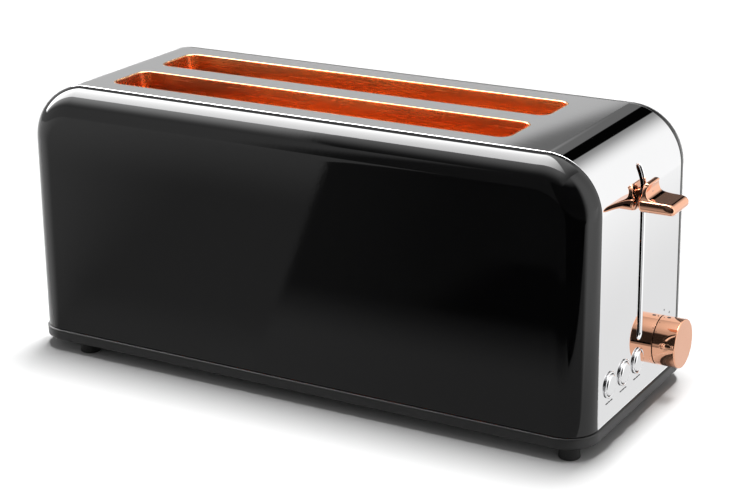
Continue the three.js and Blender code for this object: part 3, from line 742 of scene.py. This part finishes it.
def base_tray():
    """The moulded base: a shallow tray with rounded lips, vents underneath and a door for the crumb tray."""
    half = (BASE_HIGH - BASE_LOW) / 2
    bottom, top = BASE_LOW.z, BASE_LOW.z + 7.1 * MM
    floor, wall = 1.8 * MM, 3 * MM
    levels = arc(-1.4 * MM, bottom + 1.4 * MM, 1.4 * MM, -90, 0, 6)
    levels += arc(-1.1 * MM, top - 1.1 * MM, 1.1 * MM, 0, 90, 6)
    levels += arc(-wall + 0.5 * MM, top - 0.5 * MM, 0.5 * MM, 90, 180, 4)
    levels += [(-wall, top - 0.5 * MM), (-wall, bottom + floor + 0.6 * MM),
               (-wall - 0.6 * MM, bottom + floor)]
    shell = loop_stack("base_shell", (MID_X, 0), half, BASE_CORNER, levels, 16)
    low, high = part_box("crumb_tray")
    cutters = [soft_block("door", (BASE_LOW.x - 0.01, low.y - 0.8 * MM, bottom + floor),
                          (BASE_LOW.x + 6 * MM, high.y + 0.8 * MM, top + 0.01), 0.3 * MM, 0.3 * MM)]
    vents, pitch = 12, 22 * MM
    for row in range(vents):
        x = MID_X + (row - (vents - 1) / 2) * pitch
        cutters.append(soft_block("vent", (x - 1.5 * MM, -45 * MM, bottom - 0.01),
                                  (x + 1.5 * MM, 45 * MM, bottom + 0.01), 1.4 * MM, 0.3 * MM))
    cut_away(shell, joined("cutters", cutters))
    board_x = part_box("control_board")[0].x
    posts = [soft_block("post", (board_x - 5 * MM, y - 3 * MM, bottom + 1 * MM),
                        (board_x - 0.3 * MM, y + 3 * MM, BASE_HIGH.z), 0.6 * MM, 0.4 * MM)
             for y in (-52 * MM, 52 * MM)]
    return even_shading(joined("base_moulding", [shell, *posts]))


def foot(name, node):
    _, high, middle, half = spans(node)
    radius, recess, seat, hole = half.x, 3.5 * MM, 3 * MM, 1.8 * MM
    tread = arc(radius - 0.9 * MM, 0.9 * MM, 0.9 * MM, -90, 0, 5)
    profile = [(recess, seat), (recess, 0.5 * MM), (4 * MM, 0), *tread, (radius * 0.97, high.z * 0.55),
               (radius, high.z - 0.2 * MM), (radius - 0.3 * MM, high.z), (hole, high.z), (hole, seat),
               (recess, seat)]
    return lathe(name, "z", middle, profile, 64)


def foot_screw(name, node):
    """A pan-head screw with a cross recess."""
    low, high, middle, half = spans(node)
    radius = half.x
    head = [(0, low.z), (radius * 0.6, low.z + 0.05 * MM), (radius * 0.9, low.z + 0.4 * MM),
            (radius, low.z + 0.9 * MM), (radius, low.z + 1.7 * MM)]
    thread = []
    for turn in range(9):
        z = low.z + (2.2 + turn) * MM
        thread += [(1.15 * MM, z), (1.5 * MM, z + 0.5 * MM)]
    screw = lathe(name, "z", middle, [*head, (1.5 * MM, low.z + 1.7 * MM), *thread, (0, high.z)], 32)
    for arm in (Vector((1.7, 0.4, 0)) * MM, Vector((0.4, 1.7, 0)) * MM):
        start = Vector((middle.x, middle.y, low.z - 1 * MM))
        end = Vector((middle.x, middle.y, low.z + 0.9 * MM))
        cut_away(screw, soft_block("arm", start - arm, end + arm, 0.2 * MM, 0.2 * MM))
    return even_shading(screw)


def cord_gland():
    profile = [(5 * MM, -0.3 * MM), (7.5 * MM, -0.3 * MM), *arc(6.5 * MM, -1.3 * MM, 1 * MM, 0, -90, 5),
               *arc(4.5 * MM, -1.4 * MM, 0.9 * MM, -90, -180, 5), (3.6 * MM, 4 * MM), (6.2 * MM, 4 * MM),
               (6.2 * MM, 1.5 * MM), (5 * MM, 1.5 * MM), (5 * MM, -0.3 * MM)]
    profile = [(radius, WRAP_LOW.x + depth) for radius, depth in profile]
    return lathe("cord_gland_bush", "x", spans("cord_gland")[2], profile, 64)


def add_outer_body():
    stand_for(polished_wrap(), "mirror_steel", "polished_wrap")
    stand_for(cover("front_cover", -1), "black_enamel", "side_panel_front")
    stand_for(cover("rear_cover", 1), "black_enamel", "side_panel_rear")
    for row in ("front", "rear"):
        liner = f"slot_liner_{row}"
        fit(slot_lip, f"slot_lip_{row}", "reflector_steel", liner)
        finish_piece(slot_wall(f"slot_wall_{row}", liner), "reflector_steel", "chassis")
    stand_for(base_tray(), "satin_black", "base_tray")
    stand_for(cord_gland(), "satin_black", "cord_gland")
    for i in (1, 2, 3, 4):
        fit(foot, f"rubber_foot_{i}", "black_rubber", f"foot_{i}")
        fit(foot_screw, f"cross_screw_{i}", "plain_steel", f"foot_screw_{i}")


# ---------- lever, knob and buttons

def quadratic(start, control, end, steps=8):
    """Points on a curve that leaves start towards control and comes to end from it."""
    points = []
    for step in range(1, steps + 1):
        t = step / steps
        points.append(tuple((1 - t) ** 2 * a + 2 * t * (1 - t) * b + t * t * c
                            for a, b, c in zip(start, control, end)))
    return points


def lever_handle():
    """A flat tab with a thick round nose, a scoop for the finger and a dished lip that narrows."""
    low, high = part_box("lever_handle")
    full = (high.y - low.y) / 2
    root, nose = END_X + 1.4 * MM, 3.8 * MM
    nose_x = high.x - 1.4 * MM - nose - root
    bottom = low.z - 0.6 * MM
    levels = []

    def add_level(x0, x1, half, corner, z):
        corner = min(corner, (x1 - x0) / 2.05)
        levels.append((root + x0, root + x1, -half, half, corner, bottom + z))

    for step in range(-8, 9):
        angle = step * pi / 16
        side = 5.5 * MM if step < 0 else 1.3 * MM
        half = full - side * (1 - cos(angle))
        back = 0.8 * MM * (1 - cos(angle)) if step < 0 else 0
        add_level(back, nose_x + nose * cos(angle), half, 2.2 * MM, nose * (1 + sin(angle)))
    half = full - 1.3 * MM
    lip_z, lip_cut = 16.6 * MM, 6 * MM
    scoop = [(x * MM, z * MM) for x, z in ((16, 7.65), (12.5, 7.8), (10, 8.1))]
    scoop += quadratic(scoop[-1], (3.2 * MM, 8.9 * MM), (2.9 * MM, 12.4 * MM), 12)
    scoop += quadratic(scoop[-1], (2.9 * MM, 15 * MM), (4.6 * MM, lip_z), 8)
    for x, z in scoop:
        narrow = max(0, (z - 9 * MM) / (9 * MM))
        lean = 1.2 * MM * max(0, (z - 11 * MM) / (6 * MM)) ** 2
        add_level(lean, x, half - lip_cut * (1 - sqrt(1 - narrow ** 2)), 1.3 * MM, z)
    top_half = levels[-1][3]
    for step in range(1, 7):
        angle = step * pi / 12
        inset = 1 - cos(angle)
        add_level((1.05 + 1.1 * inset) * MM, (4.6 - 1.5 * inset) * MM, top_half - 1.2 * MM * inset, 1.3 * MM,
                  lip_z + 1 * MM * sin(angle))

    def curled(point):
        """The lip's two side edges come forward, so that it is dished."""
        x, y, z = point
        rise = min(max((z - bottom - 7.8 * MM) / (4 * MM), 0), 1)
        return x + 2.4 * MM * rise ** 2 * (3 - 2 * rise) * abs(y / full) ** 2.2, y, z

    paddle = stack("paddle", levels, sharp=60, shaped=curled)
    neck = soft_block("neck", (low.x, -4 * MM, low.z + 0.6 * MM), (root + 1.2 * MM, 4 * MM, low.z + 12 * MM),
                      1.6 * MM, 1.2 * MM)
    return joined("lever_paddle", [paddle, neck])


def browning_knob():
    low, high, middle, half = spans("browning_knob")
    radius, front, back = half.y, high.x, END_X + 0.3 * MM
    profile = [(0, low.x + 9 * MM), (3.3 * MM, low.x + 9 * MM), (3.3 * MM, back), (radius - 0.15 * MM, back),
               (radius, back + 0.15 * MM), (radius, front - 1 * MM),
               *arc(radius - 0.8 * MM, front - 0.8 * MM, 0.8 * MM, 0, 70, 6),
               (radius - 1.6 * MM, front - 0.05 * MM), (radius * 0.5, front - 0.12 * MM),
               (0, front - 0.15 * MM)]
    return lathe("knob_turned", "x", middle, profile, 128)


def knob_pointer():
    """A short dark inlay along the top of the knob, to read its setting by."""
    low, high, middle, _ = spans("browning_knob")
    return soft_block("knob_pointer", (low.x + 3.2 * MM, middle.y - 0.9 * MM, high.z - 0.6 * MM),
                      (low.x + 5.6 * MM, middle.y + 0.9 * MM, high.z + 0.12 * MM), 0.8 * MM, 0.1 * MM)


def button_cap(name, node):
    """A domed cap with a well rounded edge."""
    low, high, middle, half = spans(node)
    edge, front = 1.5 * MM, high.x - 0.8 * MM
    crown = half.y - edge
    dome = [(crown * share, front - 0.3 * MM * share * share) for share in (0.75, 0.5, 0.25, 0)]
    profile = [(0, low.x), (2.5 * MM, low.x), (2.5 * MM, front - 7 * MM), (half.y, front - 7 * MM),
               *arc(crown, front - 0.3 * MM - edge, edge, 0, 82, 8), *dome]
    return lathe(name, "x", middle, profile, 72)


def button_bezel(name, node):
    """A ring with a low round crown."""
    low, _, middle, half = spans(node)
    outer, front, step = half.y, END_X + 1.1 * MM, END_X + 0.5 * MM
    inner, collar = outer - 1.3 * MM, outer - 0.7 * MM
    profile = [(inner, low.x), (collar, low.x), (collar, step), (outer, step),
               *arc((inner + outer) / 2, front - 0.5 * MM, 0.65 * MM, 0, 180, 10), (inner, low.x)]
    return lathe(name, "x", middle, profile, 72)


def flat_mark(name, loops):
    """Pad-printed marks on the control end: each loop is in (y, z)."""
    face = END_X + 0.15 * MM
    obj = extruded(name, loops, (face - 0.02 * MM, face + 0.06 * MM), lambda y, z, x: (x, y, z))
    obj.data.shade_flat()
    return obj


def button_mark(index, node):
    """Three short dashes under a button, in place of a printed word."""
    low, _, middle, _ = spans(node)
    widths = {1: (3.2, 2.2, 3.0), 2: (2.4, 3.4, 2.4), 3: (3.4, 3.0, 2.0)}[index]
    gap, z = 0.7, low.z - 4.4 * MM
    start = -(sum(widths) + 2 * gap) / 2
    loops = []
    for width in widths:
        dash = rounded_outline(width / 2 * MM, 0.26 * MM, 0.2 * MM, 3)
        loops.append(shifted(dash, middle.y + (start + width / 2) * MM, z))
        start += width + gap
    return flat_mark(f"button_mark_{index}", loops)


def dial_ticks():
    """Short ticks round the knob, longer towards the dark end of the scale."""
    middle = spans("browning_knob")[2]
    inner, half = 18.2 * MM, 0.22 * MM
    ticks, first, apart = 7, 138, 30
    loops = []
    for step in range(ticks):
        angle = radians(first - step * apart)
        outer = inner + (0.9 + 0.15 * step) * MM
        loop = [(inner, -half), (outer, -half), (outer, half), (inner, half)]
        loops.append([(middle.y + a * cos(angle) - b * sin(angle), middle.z + a * sin(angle) + b * cos(angle))
                      for a, b in loop])
    return flat_mark("dial_ticks", loops)


def add_controls():
    stand_for(lever_handle(), "copper", "lever_handle")
    stand_for(browning_knob(), "copper", "browning_knob")
    finish_piece(knob_pointer(), "satin_black", "browning_control")
    for i in (1, 2, 3):
        fit(button_cap, f"button_dome_{i}", "chrome_trim", f"button_cap_{i}")
        fit(button_bezel, f"button_ring_{i}", "chrome_trim", f"button_bezel_{i}")
        finish_piece(button_mark(i, f"button_cap_{i}"), "satin_black", "chassis")
    finish_piece(dial_ticks(), "satin_black", "chassis")
    for name in ("lever_paddle", "knob_turned", "knob_pointer"):
        bpy.data.objects[name].visible_shadow = False


# ---------- toasting chamber

def bread_guard(name, node):
    """A gate of round wire that swings on its lower rail."""
    low, high, middle, _ = spans(node)
    y, pivot_z, uprights = middle.y, 24 * MM, 16
    left, right = MID_X - 150 * MM, MID_X + 128 * MM
    bottom, top = pivot_z + 5 * MM, high.z - 1.2 * MM
    gate = rounded_path([(left, y, pivot_z), (left, y, top), (right, y, top), (right, y, pivot_z)], 4 * MM)
    paths = [[(low.x, y, pivot_z), (high.x, y, pivot_z)], gate]
    paths += [[(left, y, z), (right, y, z)] for z in (bottom, (bottom + top) / 2)]
    for i in range(1, uprights):
        x = left + (right - left) * i / uprights
        paths.append([(x, y, pivot_z), (x, y, top)])
    return wires(name, paths, 0.8 * MM, sides=3)


def bread_rack(name, node):
    """A spine with cross fingers whose ends turn up a little to hold the slice."""
    low, high, middle, half = spans(node)
    y, z, tip = middle.y, middle.z, high.z + 1 * MM
    side, edge = 1.25 * MM, 0.5 * MM
    spine = soft_block("spine", (low.x, y - side, low.z), (high.x, y + side, high.z), edge, edge)
    fingers = []
    reach, bend, pitch, count = half.y, half.y - 2.5 * MM, 28 * MM, 10
    for i in range(count):
        x = MID_X - 11 * MM + (i - (count - 1) / 2) * pitch
        path = [(x, y - reach, tip), (x, y - bend, z), (x, y + bend, z), (x, y + reach, tip)]
        fingers.append(rounded_path(path, 1.8 * MM))
    return joined(name, [spine, wires("fingers", fingers, 1.2 * MM, sides=4)])


def ribbon(name, node):
    """A flat resistance ribbon laid to and fro across its card, with rounded turns and a slight wave."""
    low, high, middle, half = spans(node)
    card = spans(node.replace("heating_element", "heater_card"))[2]
    slot_side = 1 if middle.y > card.y else -1
    width, rows, steps = 2.5 * MM, 8, 60
    pitch = (high.z - low.z - width) / (rows - 1)
    turn = pitch / 2
    left, right = low.x + turn + width / 2, high.x - turn - width / 2
    path = []
    for row in range(rows):
        z = low.z + width / 2 + row * pitch
        start, end, sweep = (left, right, (-90, 90)) if row % 2 == 0 else (right, left, (270, 90))
        path += [(start + (end - start) * i / steps, z) for i in range(steps + 1)]
        if row < rows - 1:
            path += arc(end, z + turn, turn, *sweep, 12)[1:-1]
    points = []
    for i, (x, z) in enumerate(path):
        ax, az = path[max(i - 1, 0)]
        bx, bz = path[min(i + 1, len(path) - 1)]
        along = Vector((bx - ax, bz - az)).normalized()
        across = Vector((-along.y, along.x)) * width / 2
        wave = slot_side * 0.12 * MM * (1 + sin(x * 900))
        for side, depth in ((-1, -1), (1, -1), (1, 1), (-1, 1)):
            points.append((x + side * across.x, middle.y + wave + depth * half.y, z + side * across.y))
    faces = grid_faces(len(path), 4, closed=True)
    faces += [(3, 2, 1, 0), tuple(range(len(points) - 4, len(points)))]
    return even_shading(face_outward(mesh_object(name, points, faces)))


def mica_card(name, node):
    """A mica sheet with notched ends where the ribbon turns."""
    low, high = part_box(node)
    notch, pitch = 1.6 * MM, 15 * MM
    ends = []
    for x, inward, order in ((high.x, -notch, 1), (low.x, notch, -1)):
        run = []
        for row in range(int((high.z - low.z) / pitch)):
            z = low.z + (row + 0.5) * pitch + 4 * MM
            if z + 2 * MM < high.z:
                run += [(x, z - 1.6 * MM), (x + inward, z - 1.2 * MM), (x + inward, z + 1.2 * MM),
                        (x, z + 1.6 * MM)]
        ends.append(run[::order])
    outline = [(low.x, low.z), (high.x, low.z), *ends[0], (high.x, high.z), (low.x, high.z), *ends[1]]
    return bevelled(extruded(name, [outline], (low.y, high.y), lambda x, z, y: (x, y, z)), 0.15 * MM)


def add_chamber():
    for row in ("front", "rear"):
        fit(bread_rack, f"rack_wire_{row}", "rack_steel", f"bread_rack_{row}")
        for end in (f"{row}_outer", f"{row}_inner"):
            fit(bread_guard, f"guard_wire_{end}", "rack_steel", f"bread_guard_{end}")
            fit(ribbon, f"ribbon_{end}", "nichrome", f"heating_element_{end}")
            fit(mica_card, f"mica_{end}", "mica", f"heater_card_{end}")


# ---------- carriage, magnet and board

def lift_spring():
    """A close-wound tension spring with a hook at each end; the real one is stretched as the carriage goes
    down, this one keeps one length.
    """
    low, high, middle, half = spans("lift_spring")
    x, y, wire = middle.x, middle.y, 0.5 * MM
    radius = half.x - wire
    turns, steps = 34, 20
    coil_low, coil_high = low.z + 5 * MM, high.z - 5 * MM
    path = [(x, y, low.z + 0.6 * MM), (x + radius * 0.5, y, low.z + 2.5 * MM)]
    for i in range(turns * steps + 1):
        angle = 2 * pi * i / steps
        z = coil_low + (coil_high - coil_low) * i / (turns * steps)
        path.append((x + radius * cos(angle), y + radius * sin(angle), z))
    path += [(x + radius * 0.5, y, high.z - 2.5 * MM), (x, y, high.z - 0.6 * MM)]
    spring = wires("lift_spring_coil", [path], wire, sides=3)
    spring.data.materials.append(LOOKS["plain_steel"])
    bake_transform(spring)
    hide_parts("lift_spring")


def guide_rod():
    low, high, middle, half = spans("guide_rod")
    radius, chamfer = half.x, 0.5 * MM
    profile = [(0, low.z), (radius - chamfer, low.z), (radius, low.z + chamfer), (radius, high.z - chamfer),
               (radius - chamfer, high.z), (0, high.z)]
    return lathe("guide_rod_turned", "z", middle, profile, 48)


def magnet_winding():
    """Rows of enamelled wire round one leg of the magnet; the inner layers show only at the ends."""
    low, high, middle, half = spans("magnet_coil")
    wire, layers = 0.3 * MM, 5
    rows = int((high.z - low.z) / (2 * wire))
    paths = []
    for layer in range(layers):
        inset = wire * (1 + 2 * layer)
        loop = rounded_outline(half.x - inset, half.y - inset, 3.2 * MM - inset, 4)
        for row in range(rows):
            if layer in (0, layers - 1) or row in (0, rows - 1):
                z = low.z + wire * (1 + 2 * row)
                paths.append([(x, y, z) for x, y in shifted(loop, middle.x, middle.y)])
    return wires("magnet_winding", paths, wire, sides=2, cyclic=True)


def board_parts():
    """Small parts on the control board: resistors and a chip."""
    low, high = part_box("control_board")
    front, radius, made = high.x, 0.9 * MM, []
    profile = [(0, front), (radius, front + 0.1 * MM), (radius, front + 2.2 * MM), (0, front + 2.4 * MM)]
    for i, y in enumerate((-36, -31, -12, -8, 14, 18)):
        z = low.z + (5 + (i % 2) * 3) * MM
        made.append(lathe("resistor", "x", (0, y * MM, z), profile, 24))
    made.append(soft_block("chip", (front + 0.05 * MM, -16 * MM, high.z - 9 * MM),
                           (front + 1.6 * MM, -7 * MM, high.z - 3 * MM), 0.3 * MM, 0.3 * MM))
    return joined("board_parts", made)


def add_inside():
    stand_for(guide_rod(), "plain_steel", "guide_rod")
    stand_for(magnet_winding(), "magnet_wire", "magnet_coil")
    finish_piece(board_parts(), "satin_black", "chassis")
    lift_spring()


# ---------- crumb tray

def crumb_tray():
    """A shallow pressed pan with rounded corners and a rounded rim."""
    low, high, middle, half = spans("crumb_tray")
    sheet, turn = 0.8 * MM, 1.6 * MM
    outer = arc(-turn, low.z + turn, turn, -90, 0, 6)
    rim = arc(-sheet / 2, high.z - sheet / 2, sheet / 2, 0, 180, 8)
    inner = arc(-turn, low.z + turn, turn - sheet, 0, -90, 6)
    return loop_stack("crumb_pan", middle, half, 3 * MM, outer + rim + inner)


def crumb_tray_handle():
    return soft_block("crumb_tray_grip", *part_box("crumb_tray_handle"), 2.4 * MM, 1.2 * MM, 5)


def add_crumb_tray():
    stand_for(crumb_tray(), "plain_steel", "crumb_tray")
    stand_for(crumb_tray_handle(), "satin_black", "crumb_tray_handle")


# ---------- studio

def add_camera():
    yaw, pitch, roll = -0.527802, 0.298376, -0.013618
    place = (0.602952, -1.033175, 0.492371)
    forward = Vector((sin(yaw) * cos(pitch), cos(yaw) * cos(pitch), -sin(pitch)))
    right = Vector((cos(yaw), -sin(yaw), 0))
    up = right.cross(forward)
    rolled_right = cos(roll) * right + sin(roll) * up
    rolled_up = -sin(roll) * right + cos(roll) * up
    data = bpy.data.cameras.new("camera")
    data.sensor_width = 36
    data.lens = 96.57
    data.shift_y = -0.0959
    data.clip_end = 30
    camera = bpy.data.objects.new("camera", data)
    bpy.context.scene.collection.objects.link(camera)
    turn = Matrix((rolled_right, rolled_up, -forward)).transposed().to_4x4()
    camera.matrix_world = Matrix.Translation(place) @ turn
    bpy.context.scene.camera = camera


def rectangle(low_x, high_x, low_y, high_y, z):
    return [(low_x, low_y, z), (high_x, low_y, z), (high_x, high_y, z), (low_x, high_y, z)]


def add_floor():
    half = 3
    floor = mesh_object("floor", rectangle(-half, half, -half, half, 0), [(0, 1, 2, 3)])
    look = Look("floor_white")
    look.color(look.noise(3, 2), (0.3, grey(0.86)), (0.7, grey(0.88)))
    look.setting("Roughness", 0.9)
    look.setting("Specular IOR Level", 0.1)
    floor.data.materials.append(look.material)


AMBIENT = 0.2
KEY = 1.08


class Value:
    """A number that shader nodes work out; it adds, subtracts and multiplies like a plain one."""

    def __init__(self, tree, socket):
        self.tree, self.socket = tree, socket

    def math(self, operation, *numbers):
        """The result of a math node on these numbers, plain or worked out by nodes."""
        node = self.tree.nodes.new("ShaderNodeMath")
        node.operation = operation
        for socket, number in zip(node.inputs, numbers):
            if isinstance(number, Value):
                self.tree.links.new(number.socket, socket)
            else:
                socket.default_value = number
        return Value(self.tree, node.outputs[0])

    def __add__(self, other):
        return self.math("ADD", self, other)

    def __sub__(self, other):
        return self.math("SUBTRACT", self, other)

    def __rsub__(self, other):
        return self.math("SUBTRACT", other, self)

    def __mul__(self, other):
        return self.math("MULTIPLY", self, other)

    def ramp(self, start, end, low=0.0, high=1.0):
        """From low to high, smoothly, as this goes from start to end."""
        node = self.tree.nodes.new("ShaderNodeMapRange")
        node.interpolation_type = "SMOOTHSTEP"
        self.tree.links.new(self.socket, node.inputs["Value"])
        for name, number in zip(("From Min", "From Max", "To Min", "To Max"), (start, end, low, high)):
            node.inputs[name].default_value = number
        return Value(self.tree, node.outputs["Result"])

    def window(self, start, end, soft):
        """1 between start and end, 0 outside, with soft edges."""
        half = soft / 2
        return self.ramp(start - half, start + half) * self.ramp(end - half, end + half, 1.0, 0.0)

    def toward(self, other, share):
        """This where share is 0, other where it is 1."""
        return self + (other - self) * share


def axes(tree, coordinates):
    """The x, y and z of a place or a direction."""
    split = tree.nodes.new("ShaderNodeSeparateXYZ")
    tree.links.new(tree.nodes.new("ShaderNodeTexCoord").outputs[coordinates], split.inputs[0])
    return [Value(tree, socket) for socket in split.outputs]


def room_level(x, y, z):
    """The room that gloss shows: grey behind, white to the right, a black flag, pale above, dark in front."""
    to_degrees = 180 / pi
    azimuth = x.math("ARCTAN2", x, y) * to_degrees
    elevation = z.math("ARCSINE", z) * to_degrees
    beyond = azimuth.ramp(-1.1, 0.1)
    rear = (elevation + azimuth * 0.35).ramp(6.8, 7.25, 0.5, 0.14)
    right = azimuth.ramp(0, 22, 0.27, 1.08) + azimuth.ramp(40, 80, 0.0, 0.5)
    level = rear.toward(right, beyond)
    level = level.toward(0.3, azimuth.window(-100, -22, 4) * elevation.window(18, 39, 3))
    level = level.toward(1.0, elevation.ramp(37, 41) * (1.0 - beyond))
    level = level.toward(0.001, azimuth.window(-12.6, -0.1, 0.9) * elevation.window(12, 40, 2))
    front = azimuth.math("ABSOLUTE", azimuth).ramp(88, 110) * elevation.ramp(40, 58, 1.0, 0.4)
    dim = azimuth.ramp(-150.5, -146.5, 0.1, 0.62).toward(0.03, azimuth.ramp(-30, 30))
    return level.toward(dim, front)


def add_world():
    """Even light for matt surfaces, the room for gloss, and plain white behind the floor."""
    world = bpy.data.worlds.new("studio")
    bpy.context.scene.world = world
    world.use_nodes = True
    tree = world.node_tree
    tree.nodes.clear()
    rays = tree.nodes.new("ShaderNodeLightPath").outputs

    def light(strength):
        node = tree.nodes.new("ShaderNodeBackground")
        node.inputs["Color"].default_value = (1, 1, 1, 1)
        if isinstance(strength, Value):
            tree.links.new(strength.socket, node.inputs["Strength"])
        else:
            node.inputs["Strength"].default_value = strength
        return node.outputs[0]

    def choose(share, first, second):
        node = tree.nodes.new("ShaderNodeMixShader")
        for socket, value in zip(node.inputs, (share, first, second)):
            tree.links.new(value, socket)
        return node.outputs[0]

    room = light(room_level(*axes(tree, "Generated")))
    shown = choose(rays["Is Diffuse Ray"], room, light(AMBIENT))
    shown = choose(rays["Is Camera Ray"], shown, light(1.05))
    output = tree.nodes.new("ShaderNodeOutputWorld")
    tree.links.new(shown, output.inputs["Surface"])


def key_light():
    """A soft box high above and a little behind, so that the shadow falls forward."""
    data = bpy.data.lights.new("key", "AREA")
    data.shape = "RECTANGLE"
    height, back, left = 8.0, 0.85, 0.18
    data.size, data.size_y = 1.2, 2.5
    light = bpy.data.objects.new("key", data)
    bpy.context.scene.collection.objects.link(light)
    light.location = (MID_X - left, back, height)
    light.visible_camera = False
    light.visible_glossy = False
    data.energy = KEY * pi * pi * height * height


def reflected_card(name, corners, level, receivers=()):
    """A card that shows only in gloss; level makes its brightness from the x and y of its place."""
    card = mesh_object(name, corners, [tuple(range(len(corners)))])
    material = bpy.data.materials.new(name)
    material.use_nodes = True
    tree = material.node_tree
    tree.nodes.clear()
    glow = tree.nodes.new("ShaderNodeEmission")
    tree.links.new(level(*axes(tree, "Object")[:2]).socket, glow.inputs["Strength"])
    output = tree.nodes.new("ShaderNodeOutputMaterial")
    tree.links.new(glow.outputs[0], output.inputs["Surface"])
    card.data.materials.append(material)
    for kind in ("camera", "diffuse", "transmission", "volume_scatter", "shadow"):
        setattr(card, "visible_" + kind, False)
    if receivers:
        group = bpy.data.collections.new(name + "_receivers")
        for piece in receivers:
            group.objects.link(bpy.data.objects[piece])
        card.light_linking.receiver_collection = group


def front_card_level(x, y):
    """Dark, lighter left of a slanting edge and close in, black in one place, and pale to both sides."""
    edge = x - y * 0.476
    left = y.ramp(-0.4, -0.56, 0.29, 0.6).toward(0.38, y.ramp(-0.2, -0.12))
    right = y.ramp(-0.27, -0.17, 0.04, 0.32) + edge.ramp(-0.013, 0.16, 0.05, 0.0)
    black = y.window(-0.375, -0.262, 0.03) * x.ramp(-0.03, 0.02)
    level = left.toward(right.toward(0.002, black), edge.ramp(-0.008, 0.003))
    ahead = PANEL_LOW.y - y
    to_left = x.math("ARCTAN2", WRAP_LOW.x - x, ahead)
    to_right = x.math("ARCTAN2", x - WRAP_HIGH.x, ahead)
    level = level.toward(1.05, to_left.ramp(radians(16), radians(70)))
    return level.toward(1.58, to_right.ramp(radians(70), radians(92)))


def strip_level(x, y):
    """A bright strip overhead that narrows to the right and falls away towards the front."""
    behind = (y + x.ramp(-0.3, 0.62) * 0.78).ramp(0.59, 0.64, 1.0, 0.0)
    bright = y.ramp(-0.173, -0.143) * behind * x.ramp(-0.05, 0.6, 12.0, 1.5)
    fall = y.ramp(-1.0, -0.15)
    slant = x - y * 0.31
    fade = fall * fall * slant.ramp(-0.42, -0.3, 3.2, 1.8)
    rest = slant.ramp(-0.36, -0.32, 0.55, 0.1)
    inward = x.ramp(0.3, 0.6, 1.0, 0.0)
    beside = y.ramp(-0.95, -0.6, 0.04, 0.62)
    return x.math("MAXIMUM", bright, fade) * inward + beside.toward(rest, inward)


def end_card_level(x, y):
    """The floor beside the controls, a little darker close in."""
    level = x.ramp(WRAP_HIGH.x + 0.07, WRAP_HIGH.x + 0.22, 0.84, 1.08)
    return level + (x - y).ramp(0.28, 0.7, 0.0, 0.5)


def lever_card_level(x, y):
    """A grey patch that lights the near side of the lever by way of the polished end."""
    return y.ramp(-0.75, -0.45, 0.25, 0.5)


def add_lights():
    key_light()
    outside = ["front_cover", "rear_cover", "polished_wrap_skin", "base_moulding", "lever_paddle",
               "knob_turned", "slot_lip_front", "slot_lip_rear"]
    outside += [f"button_{part}_{i}" for part in ("dome", "ring") for i in (1, 2, 3)]
    above, on_floor, far, start = 0.9, 0.002, 6, -0.092
    reflected_card("overhead_strip", rectangle(-far, 0.6, -1, 0.66, above), strip_level, outside)
    reflected_card("front_card", rectangle(-far, far, -far, start, on_floor), front_card_level)
    beside = WRAP_HIGH.x + 0.012
    reflected_card("end_card", rectangle(beside, far, start, far, on_floor), end_card_level)
    reflected_card("lever_card", rectangle(0.235, 0.8, -far, -0.2, 0.004), lever_card_level,
                   ["polished_wrap_skin"])


# ---------- the whole

dress_cad_nodes()
add_camera()
add_outer_body()
add_controls()
add_chamber()
add_inside()
add_crumb_tray()
add_floor()
add_world()
add_lights()
bpy.context.scene.view_settings.view_transform = "Standard"
